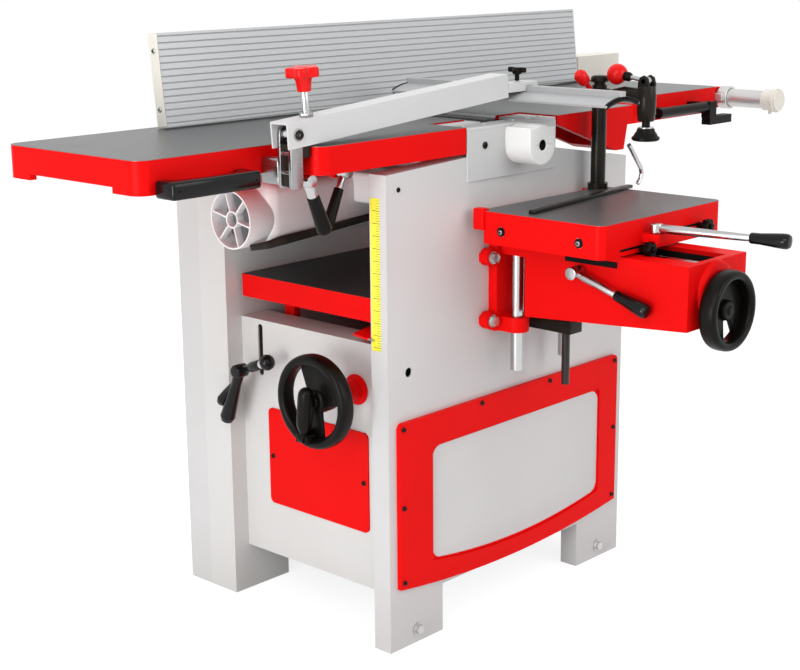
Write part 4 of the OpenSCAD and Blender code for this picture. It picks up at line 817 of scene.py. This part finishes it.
@dataclass
class Tables(Part):
    """The planing tables with their handles and levers."""

    lock: Triple = (-448.0, -180.0, 800.0)
    lock_lean: float = 23.0
    depth: Triple = (-340.0, -150.0, 800.0)
    depth_lean: float = -25.0
    rod_l: float = 30.0
    grip_l: float = 62.0
    handle_y: Pair = (-182.0, -140.0)
    handle_web: float = 18.0
    handle_foot: float = 22.0
    handle_bow: float = 14.0
    lip: float = 42.0
    lip_t: float = 0.7
    lip_y: Pair = (-139.4, 180.4)
    lip_foot: float = 840.0
    nodes = {"infeed_table": (TABLE, 2.5), "outfeed_table": (TABLE, 2.5), "outfeed_handle": (BLACK_PLASTIC, 3.0)}

    def build(self) -> None:
        """Makes the two levers below the infeed apron, the infeed handle and the tables' lips."""
        self._lever("table_lock", "table_lock_lever", self.lock, self.lock_lean, 8.0, 12.0)
        self._lever("depth_set", "depth_lever", self.depth, self.depth_lean, 5.5, 9.5)
        self._handle()
        for body, way in (("infeed", -1), ("outfeed", 1)):
            top = corners(f"{body}_table")[1].z
            x0, x1 = sorted((way * (self.lip - self.lip_t), way * (self.lip + 3)))
            strip = Shape().box((x0, self.lip_y[0], self.lip_foot), (x1, self.lip_y[1], top - 0.3), 0.3)
            strip.piece(f"{body}_lip", STEEL, body)

    def _handle(self) -> None:
        """Makes the cast infeed handle, whose inner edge is bowed between two feet."""
        low, high = corners("infeed_handle")
        (y0, y1), foot, x0, x1 = self.handle_y, self.handle_foot, low.x, high.x
        inner = y0 + self.handle_web
        bow = [(x1 - foot + (x0 - x1 + 2 * foot) * i / 16, inner + self.handle_bow * abs(i / 8 - 1) ** 2.4)
               for i in range(17)]
        outline = [(x0, y0), (x1, y0), (x1, y1), (x1 - foot, y1), *bow, (x0 + foot, y1), (x0, y1)]
        handle = Shape().prism(outline, high.z - low.z + 6, move(0, 0, low.z - 3), 6.0)
        handle.piece("infeed_cast_handle", GLOSS_BLACK, "infeed", ["infeed_handle"])
        screws = Shape()
        for x in (x0 + foot * 0.5, x1 - foot * 0.5):
            screws.screw((x, y0, (low.z + high.z) / 2), NEAR, 3.0, 0.1)
        screws.piece("infeed_handle_screws", BLACK_STEEL, "infeed")

    def _lever(self, body: str, node: str, pivot: Point, lean: float, rod_r: float, grip_r: float) -> None:
        """Makes one bright lever with a dark grip.

        Args:
            body: The body it turns with.
            node: The solid it stands for.
            pivot: The middle of its hub.
            lean: Its lean from plumb, in degrees.
            rod_r: The radius of its bright part.
            grip_r: The greatest radius of its grip.
        """
        way = Vector((math.sin(math.radians(lean)), 0, -math.cos(math.radians(lean))))
        at = Vector(pivot)
        bright = Shape().lathe([(0, -11), (10, -11), (10, 11), (6, 11), (6, 21.5), (0, 21.5)], toward(at, FAR), 0.8, 36)
        bright.rod(at, at + way * self.rod_l, rod_r).piece(f"{body}_rod", CHROME, body, [node])
        r, l = grip_r, self.grip_l
        dark = Shape().lathe([(0, 0), (r * 0.82, 0), (r * 0.86, l * 0.2), (r, l * 0.86), (r * 0.97, l * 0.95),
                              (r * 0.8, l), (0, l)], toward(at + way * (self.rod_l - 2), way), 0.8, 36)
        dark.piece(f"{body}_grip", BLACK_PLASTIC, body)


@dataclass
class Fence(Part):
    """The ribbed fence on its tube."""

    cap_t: float = 2.5
    lean: float = 6.0
    foot: Pair = (138.0, 859.0)
    clamp_y: float = -154.0
    nodes = {"fence_tube": (TUBE, 0.6), "tube_cap": (CREAM, 2.0), "fence_carriage": (CREAM, 3.0),
             "fence_plate": (ALUMINIUM, 0.0)}

    def build(self) -> None:
        """Makes the end plates of the fence, their screws, the cap's lip and the tube's ring."""
        low, high = corners("fence_plate")
        plates, screws = Shape(), Shape()
        for x, way, face in ((low.x - self.cap_t, LEFT, 0), (high.x, RIGHT, self.cap_t)):
            place = move(x, *self.foot) @ spin(-self.lean, "X")
            plates.box((0, 0.4, 0.4), (self.cap_t, 22, 149.6), 0.8, place)
            for z in (28, 122):
                screws.screw(place @ Vector((face, 11, z)), way, 4.5, 2.2)
        plates.piece("fence_end_plates", CREAM, "fence")
        screws.piece("fence_end_screws", STEEL, "fence")
        low, high = corners("tube_cap")
        x, y, z = (low.x + high.x) / 2, low.y, (low.z + high.z) / 2
        lip = Shape().ring(20.5, 24, 4, 10, toward((x, y, z), FAR), 1.0, 48)
        lip.rod((x, y + 20, z - 20), (x, y + 20, z - 28), 3.5).piece("tube_cap_lip", CREAM, "outfeed")
        clamp = Shape().ring(18.3, 23, 0, 22, toward((x, self.clamp_y, z), FAR), 1.5, 48)
        clamp.box((x - 34, self.clamp_y + 2, z - 4), (x - 22, self.clamp_y + 24, z + 10), 1.5)
        clamp.piece("tube_clamp", TUBE, "outfeed")


@dataclass
class BridgeGuard(Part):
    """The bridge guard: clevis, arm, star knob and blade."""

    pivot: Triple = (-493.0, -192.0, 875.0)
    rise: float = 4.4
    screw_x: float = 36.0
    blade_x: float = 45.0
    blade_w: float = 92.0
    bend: float = 110.0
    crown: float = 901.5
    cap_t: float = 3.0
    cheek_t: float = 6.5
    nodes = {"guard_arm": (ARM_PAINT, 1.6), "blade_bracket": (ARM_PAINT, 1.5), "guard_blade": (BLADE, 0.8)}

    def build(self) -> None:
        """Makes the knob, the post, the screws, the wing knob and the blade's ends."""
        arm = move(*self.pivot) @ spin(-self.rise, "Y")
        place = arm @ move(self.screw_x, 0, 0)
        star = Shape().prism(wave(23.0, 5, 0.13, 80), 15, place @ move(0, 0, 78), 3.0)
        star.lathe([(0, 57), (10.0, 57), (10.5, 60), (12, 73), (16, 80), (0, 80)], place, 0.8, 40)
        star.disc(9, 91, 93.4, place, 0.6, 32).piece("star_knob", RED_PLASTIC, "guard_screw", ["guard_knob"])
        Shape().disc(6, -9.5, 58, place, 0.8, 32).piece("star_knob_screw", CHROME, "guard_screw")
        self._clevis()
        nut, heads = Shape().ring(6.2, 11, 20, 26, place, 0.6, 6), Shape()
        for way in (NEAR, FAR):
            at = arm @ (Vector(way) * 18.5)
            nut.disc(9.4, 0, 1.6, toward(at, way), 0.4, 32)
            heads.screw(at, way, 7.4, 6.0)
        nut.piece("arm_fasteners", STEEL, "guard")
        heads.piece("arm_pivot_screws", BLACK_STEEL, "guard")

        top = (self.blade_x - 10, self.pivot[1], 917)
        wing = Shape().lathe([(0, 0), (4, 0), (4, 10), (8, 12), (9, 18), (6, 22), (0, 23)], toward(top, UP), 0.6, 28)
        for turn in (-180, 0):
            wing.box((-3, 4, 14), (3, 19, 23), 2.6, move(*top) @ spin(turn, "Z"))
        wing.piece("wing_knob", BLACK_PLASTIC, "guard")

        low, high = corners("guard_blade")
        half = math.asin(self.blade_w / 2 / self.bend)
        edge = [(self.bend * math.sin(a), self.bend * math.cos(a) - self.bend)
                for a in (half * (i / 8 - 1) for i in range(17))]
        inner = [(x * 0.93, z - 8.0) for x, z in reversed(edge)]
        ends = Shape()
        for y in (low.y + self.cap_t, high.y):
            ends.prism([*edge, *inner], self.cap_t, move(self.blade_x, y, self.crown + 0.2) @ spin(90, "X"), 0.4)
        ends.piece("blade_end_caps", BLACK_PLASTIC, "blade")

    def _clevis(self) -> None:
        """Makes the post: two cheeks round a black block of painted shade between them, a seat below the arm and a link
        to the table.
        """
        x, y, z = self.pivot
        low, high = corners("guard_post")
        x0, foot, half = low.x, low.z, y - low.y
        r, thick = x - x0, self.cheek_t
        outline = [(-r, foot + 6 - z), (-r + 4, foot - z), (r - 4, foot - z), (r, foot + 6 - z),
                   *arc(r, (11.25 * i for i in range(17)))]
        cheeks = Shape()
        for side in (thick - half, half):
            cheeks.prism(outline, thick, move(x, y + side, z) @ spin(90, "X"), 1.2)
        cheeks.rod((x, y - half + 0.4, z - 34), (x, y + half - 0.4, z - 34), 5.0)
        for level in (z - 30, z - 58):
            cheeks.box((x0 + 1.2, y - half + 4, level), (x0 + 5, y + half - 4, level + 5), 0.8)
        cheeks.piece("guard_post_cheeks", STEEL, "infeed", ["guard_post"])
        # A black block fills the gap between the cheeks: painted shade between them. The second box is the seat below
        # the arm.
        shade_and_seat = Shape().box((x0 + 3, y - half + 6, foot + 3), (x + r - 3, y + half - 6, z - 14), 1.5)
        shade_and_seat.box((x + r - 3, y - half + 0.6, z - 36), (high.x, y + half - 0.6, z - 12.4), 2.0)
        shade_and_seat.piece("guard_post_seat_and_shade", BLACK_STEEL, "infeed")
        link = Shape().box((x0 + 0.6, y + half - 1, foot + 5), (x + r - 0.6, high.y, foot + 43), 3.0)
        link.piece("guard_post_link", STEEL, "infeed")


class Cutter(Part):
    """The cutterblock, the rollers and the drive wheels."""

    nodes = {
        "cutterblock": (STEEL, 0.6), "planer_knives": (CHROME, 0.2), "cutter_pulley": (MACHINE_GREY, 0.6),
        "mortise_chuck": (STEEL, 1.0), "motor_pulley": (MACHINE_GREY, 0.6), "infeed_roller": (STEEL, 0.6),
        "outfeed_roller": (STEEL, 0.6)}


@dataclass
class Mortiser(Part):
    """The slot mortiser: bracket, knee, saddle, table, levers and clamp."""

    wheel: Triple = (14.0, -629.0, 588.0)
    shaft_l: float = 60.0
    boss: Pair = (-605.0, 616.0)
    traverse: Triple = (-3.0, -505.0, 705.0)
    traverse_lean: float = 7.6
    plunge: Triple = (-77.0, -404.0, 632.0)
    plunge_dip: float = 18.0
    grip_r: float = 12.0
    grip_l: float = 63.5
    front: float = -489.0
    table_end: float = -125.0
    bar_turn: float = 7.1
    stop_y: float = -302.0
    stop_xz: tuple[Pair, ...] = ((240, 729), (248, 737), (251, 746), (248, 756), (214, 796), (210, 800))
    clamp: Pair = (191.0, -251.0)
    head_y: float = -349.0
    cap_z: float = 903.0
    arm_z: float = 882.0
    pivot_z: float = 914.0
    clamp_lean: float = 82.0
    ball_r: float = 18.0
    nodes = {
        "mort_bracket": (RED_PAINT, 2.0), "nut_block": (BLACK_STEEL, 1.5), "guide_rods": (CHROME, 0.8),
        "mort_knee": (RED_PAINT, 2.5), "mort_spindle": (THREAD, 0.0), "mort_saddle": (GROUND_IRON, 1.5),
        "mort_table": (MORTISE_TABLE, 2.5), "traverse_rods": (CHROME, 0.0), "clamp_column": (BLACK_STEEL, 1.0)}

    def build(self) -> None:
        """Makes the wheel, the levers, the stops and the clamp."""
        x, y, z = self.wheel
        Wheel("knee_hand_wheel", "mort_handwheel", "knee_wheel", self.wheel, NEAR, radius=64.0, rim=8.0, deep=15.0,
              hub_r=16.0, hub_back=23.0, webs=((180.0, 164.0, 150.0),), web_back=12.0).build(Vector((0.3, 0, -1)))
        Shape().rod(self.wheel, (x, y + self.shaft_l, z), 8.0).piece("knee_wheel_shaft", STEEL, "knee_wheel")
        boss = Shape().lathe([(9, 0), (50, 0), (47, 5), (42, 7.5), (9, 7.5)], toward((x, *self.boss), NEAR), 1.0, 64,
                             True)
        boss.piece("knee_wheel_boss", RED_PAINT, "knee")
        lean, dip = math.radians(self.traverse_lean), math.radians(self.plunge_dip)
        self._lever("traverse_arm", "traverse_lever", self.traverse, (math.sin(lean), -math.cos(lean), 0.0), 162.0,
                    UP, 7.5)
        self._lever("plunge_arm", "plunge_lever", self.plunge, (0.0, -math.cos(dip), -math.sin(dip)), 87.0, RIGHT,
                    14.5)
        self._table_fittings()
        self._clamp()

    def _lever(self, body: str, node: str, pivot: Point, way: Point, rod_l: float, axis: Point, half: float) -> None:
        """Makes one bright lever with a dark tapered grip.

        Args:
            body: The body it turns with.
            node: The solid it stands for.
            pivot: The middle of its hub.
            way: The way it points.
            rod_l: The length of its bright part.
            axis: The axis of its hub.
            half: Half the hub's height.
        """
        at, out = Vector(pivot), Vector(way)
        bright = Shape().disc(10.5, -half, half, toward(at, axis), 1.6, 36)
        bright.lathe([(0, 0), (7, 0), (7, rod_l * 0.3), (5.5, rod_l), (0, rod_l)], toward(at, out), 0.6, 32)
        bright.piece(f"{body}_rod", CHROME, body, [node])
        r, l = self.grip_r, self.grip_l
        dark = Shape().lathe([(0, 0), (r * 0.66, 0), (r * 0.72, l * 0.03), (r * 0.74, l * 0.25), (r * 0.92, l * 0.62),
                              (r, l * 0.84), (r * 0.97, l * 0.93), (r * 0.80, l * 0.985), (r * 0.45, l), (0, l)],
                             toward(at + out * (rod_l - 4), out), 0.0, 32)
        dark.piece(f"{body}_grip", GLOSS_BLACK, body)

    def _table_fittings(self) -> None:
        """Makes the bolts, knobs, stop bar and stop rod of the table, with black strips of painted shade for the slots
        by the knobs and black plates of painted shade in the knee's slot and window.
        """
        dark, bright = Shape(), Shape()
        for y in (-290, -445):
            dark.lathe([(0, 0), (7.6, 0), (7.6, 1.2), (5.5, 1.2), (5, 0.6), (0, 0.6)],
                       toward((self.table_end, y, 691), LEFT), 0.2, 32)
            bright.screw((self.table_end - 0.4, y + 1.5, 690), LEFT, 4.2, 2.0)
        for x, z in ((-21, 674), (145, 688)):
            place = toward((x, self.front, z), NEAR)
            dark.prism(wave(12.0, 6, 0.12, 72), 12, place @ move(0, 0, 12), 1.8)
            dark.lathe([(0, 0), (6, 0), (6, 10), (9, 13), (0, 13)], place, 0.5, 24)
            dark.disc(5, 23, 28, place, 0.5, 24)
            # A thin black strip beside each knob stands for the shade in its slot: painted shade.
            dark.box((x - 56, self.front - 0.6, z + 1), (x - 4, self.front + 0.6, z + 5), 0.3)
        dark.piece("table_knobs_and_slot_shade", BLACK_PLASTIC, "mortise_table")
        bright.piece("rod_screws", STEEL, "mortise_table")
        Shape().box((-130, -256, 690), (-112, -234, 725), 2.5).piece("table_ear", RED_PAINT, "mortise_table")
        turn = move(80, -312, 722) @ spin(self.bar_turn, "Z")
        bar = Shape().box((-184, -6, 0), (150, 6, 6), 1.0, turn).box((-120, 5, 0), (149, 17, 3), 0.8, turn)
        bar.piece("stop_bar", BLACK_STEEL, "mortise_table")
        rod = Shape().sweep([(x, self.stop_y, z) for x, z in self.stop_xz], [4.0] * len(self.stop_xz), 16)
        rod.piece("stop_rod", CHROME, "mortise_table")
        # Thin black plates stand for the shade in the plunge lever's slot and line the floor, far wall and end of the
        # knee's window: painted shade.
        slot = Shape().box((-62.8, -474, 645), (-61.5, -372, 655), 0.4)
        for low, high in (((-23.6, -590.6, 620), (65.6, -304.4, 620.8)), ((65.3, -590.6, 620), (65.9, -304.4, 657)),
                          ((-23.6, -304.9, 620), (65.6, -304.3, 657))):
            slot.box(low, high, 0.2)
        slot.piece("plunge_slot_shade", SHADOW, "knee")

    def _clamp(self) -> None:
        """Makes the hold-down clamp: cap, arm, head, lever with ball and bell foot."""
        (x, y), head, z = self.clamp, self.head_y, self.arm_z
        cap = Shape().lathe([(0, 0), (10, 0), (10, 4.4), (15, 5), (16, 8), (15.4, 13), (12, 16), (0, 17)],
                            toward((x, y, self.cap_z), UP), 0.5, 40)
        cap.piece("column_cap", BLACK_STEEL, "mortise_table")
        arm = Shape().lathe([(13.05, -15), (18, -15), (20, -11), (20, 11), (18, 15), (13.05, 15)],
                            toward((x, y, z), UP), 0.8, 44, True)
        arm.sweep([(x, y - 14, z - 6), (x, y - 34, z + 3), (x, y - 54, z + 8), (x, y - 74, z + 7),
                   (x, head + 8, z + 4)], [13.0, 13.5, 13.0, 13.0, 14.5], 28)
        arm.lathe([(7.05, -36), (13, -36), (15, -33), (15, -26), (16, -24), (16.5, 8), (15.5, 14), (15, 24),
                   (7.05, 24)], toward((x, head, z), UP), 0.6, 40, True)
        for side in (-12, 7):
            arm.prism([(-12, -12), (12, -12), (11, 28), (8, 38), (0, 42), (-8, 38), (-11, 28)], 5.0,
                      move(x + side, head, z) @ spin(90, "Z") @ spin(90, "X"), 1.0)
        arm.piece("clamp_gooseneck", BLACK_STEEL, "clamp", ["clamp_arm"])
        knob = Shape().lathe([(0, -6), (4.2, -6), (4.2, 17), (9.5, 20), (11.5, 26), (11.5, 38), (8, 44), (0, 45)],
                             toward((x - 20, y + 4, z + 13), (-0.7, 0.11, 0.7)), 0.6, 36)
        knob.piece("clamp_height_knob", RED_PLASTIC, "clamp")

        pivot, lean = Vector((x, head, self.pivot_z)), math.radians(self.clamp_lean)
        way = Vector((0, math.sin(lean), math.cos(lean)))
        link = Shape()
        for reach, radius in ((12, 4.95), (6.4, 7.0)):
            link.rod(pivot - Vector((reach, 0, 0)), pivot + Vector((reach, 0, 0)), radius)
        link.rod(pivot, pivot + way * 54, 4.0).piece("clamp_link", CHROME, "clamp_cam", ["clamp_lever"])
        collar = Shape().lathe([(0, 33), (6, 33), (8, 37), (8, 46), (0, 46)], toward(pivot, way), 0.8, 28)
        collar.piece("clamp_link_collar", BLACK_PLASTIC, "clamp_cam")
        ball = bmesh.new()
        bmesh.ops.create_uvsphere(ball, u_segments=56, v_segments=28, radius=self.ball_r)
        Shape().take(ball, toward(pivot + way * 62, way), 0.0).piece("clamp_ball", RED_PLASTIC, "clamp_cam")

        low, high = corners("clamp_foot")
        base = toward((x, head, low.z), UP)
        foot = Shape().lathe([(0, 0), (21, 0), (24, 2), (24, 6), (21, 8), (19, 12), (16, 16), (14.5, 21), (12, 22),
                              (0, 22)], base, 0.5, 44)
        foot.rod((x, head, low.z + 20), (x, head, high.z), 7.0)
        foot.piece("clamp_bell", BLACK_PLASTIC, "clamp_pad", ["clamp_foot"])
        Shape().ring(7.2, 13, 20.6, 23.4, base, 0.6, 40).piece("clamp_bell_ring", CHROME, "clamp_pad")


@dataclass
class Studio:
    """The floor, the lamps, the background and the camera."""

    eye: Triple = (-2067.0, -1875.8, 1139.9)
    azimuth: float = -47.008
    elevation: float = 13.882
    roll: float = -0.527
    lens: float = 70.83
    sensor: float = 36.0
    world_light: float = 0.48
    floor_size: float = 30.0
    floor_tone: float = 0.90
    floor_glow: float = 1.38
    glow_share: float = 0.6

    def camera(self) -> None:
        """Sets the camera at the viewing angle."""
        a, e = math.radians(self.azimuth), math.radians(self.elevation)
        back = Vector((math.sin(a) * math.cos(e), -math.cos(a) * math.cos(e), math.sin(e)))
        data = bpy.data.cameras.new("view")
        data.lens, data.sensor_width, data.clip_end = self.lens, self.sensor, 100.0
        eye = bpy.data.objects.new("view", data)
        turn = (-back).to_track_quat("-Z", "Y").to_matrix() @ Matrix.Rotation(math.radians(self.roll), 3, "Z")
        eye.matrix_world = Matrix.Translation(Vector(self.eye) * MM) @ turn.to_4x4()
        bpy.context.scene.collection.objects.link(eye)
        bpy.context.scene.camera = eye

    def lamp(self, name: str, at: Point, aim: Point, size: float, power: float, mirrored: bool = True) -> None:
        """Adds a soft square lamp.

        Args:
            name: Its name.
            at: Where it stands, in metres.
            aim: What it faces.
            size: Its side.
            power: Its power in watts.
            mirrored: Whether bright surfaces show it.
        """
        data = bpy.data.lights.new(name, "AREA")
        data.size, data.energy = size, power
        made = bpy.data.objects.new(name, data)
        turn = (Vector(aim) - Vector(at)).to_track_quat("-Z", "Y")
        made.matrix_world = Matrix.Translation(at) @ turn.to_matrix().to_4x4()
        made.visible_glossy = mirrored
        bpy.context.scene.collection.objects.link(made)

    def background(self) -> None:
        """Sets a white background and a plain level of light."""
        world = bpy.data.worlds.new("studio")
        bpy.context.scene.world = world
        tree = Tree(world)
        light, white = (tree.add("ShaderNodeBackground", {0: WHITE, 1: level}).outputs[0]
                        for level in (self.world_light, 1.0))
        tree.close(tree.add("ShaderNodeMixShader", {0: tree.shown(), 1: light, 2: white}), "ShaderNodeOutputWorld")

    def floor(self) -> None:
        """Lays the pale floor."""
        bm = bmesh.new()
        bmesh.ops.create_grid(bm, x_segments=1, y_segments=1, size=self.floor_size)
        mesh = bpy.data.meshes.new("floor")
        bm.to_mesh(mesh)
        bm.free()
        floor = bpy.data.objects.new("floor", mesh)
        bpy.context.scene.collection.objects.link(floor)
        paint = bpy.data.materials.new("floor_paint")
        tree = Tree(paint)
        plain = tree.add("ShaderNodeBsdfDiffuse", {0: (*[self.floor_tone] * 3, 1.0)}).outputs[0]
        glow = tree.add("ShaderNodeEmission", {0: WHITE, 1: self.floor_glow}).outputs[0]
        share = tree.calc("MULTIPLY", tree.shown(), self.glow_share)
        tree.close(tree.add("ShaderNodeMixShader", {0: share, 1: plain, 2: glow}))
        mesh.materials.append(paint)

    def build(self) -> None:
        """Makes the whole studio."""
        bpy.context.scene.view_settings.view_transform = "Standard"
        self.camera()
        self.background()
        self.floor()
        self.lamp("key", (-3.2, -1.6, 2.8), (0.0, 0.0, 0.6), 2.2, 50.0)
        self.lamp("low", (-2.8, -0.5, 0.62), (-0.3, 0.1, 0.68), 1.0, 30.0)
        self.lamp("fill", (0.8, -3.8, 2.2), (0.0, 0.0, 0.6), 2.4, 54.0)
        self.lamp("top", (0.2, 0.6, 3.4), (0.0, 0.0, 0.8), 2.6, 50.0, mirrored=False)


def main() -> None:
    """Builds every sub-assembly in order."""
    logging.basicConfig(level=logging.INFO)
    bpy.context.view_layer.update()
    Studio().build()
    for part in (Cabinet(), DustHood(), Cutter(), Thicknesser(), Tables(), Fence(), BridgeGuard(), Mortiser()):
        part.dress()
        part.build()


if __name__ == "__main__":
    main()
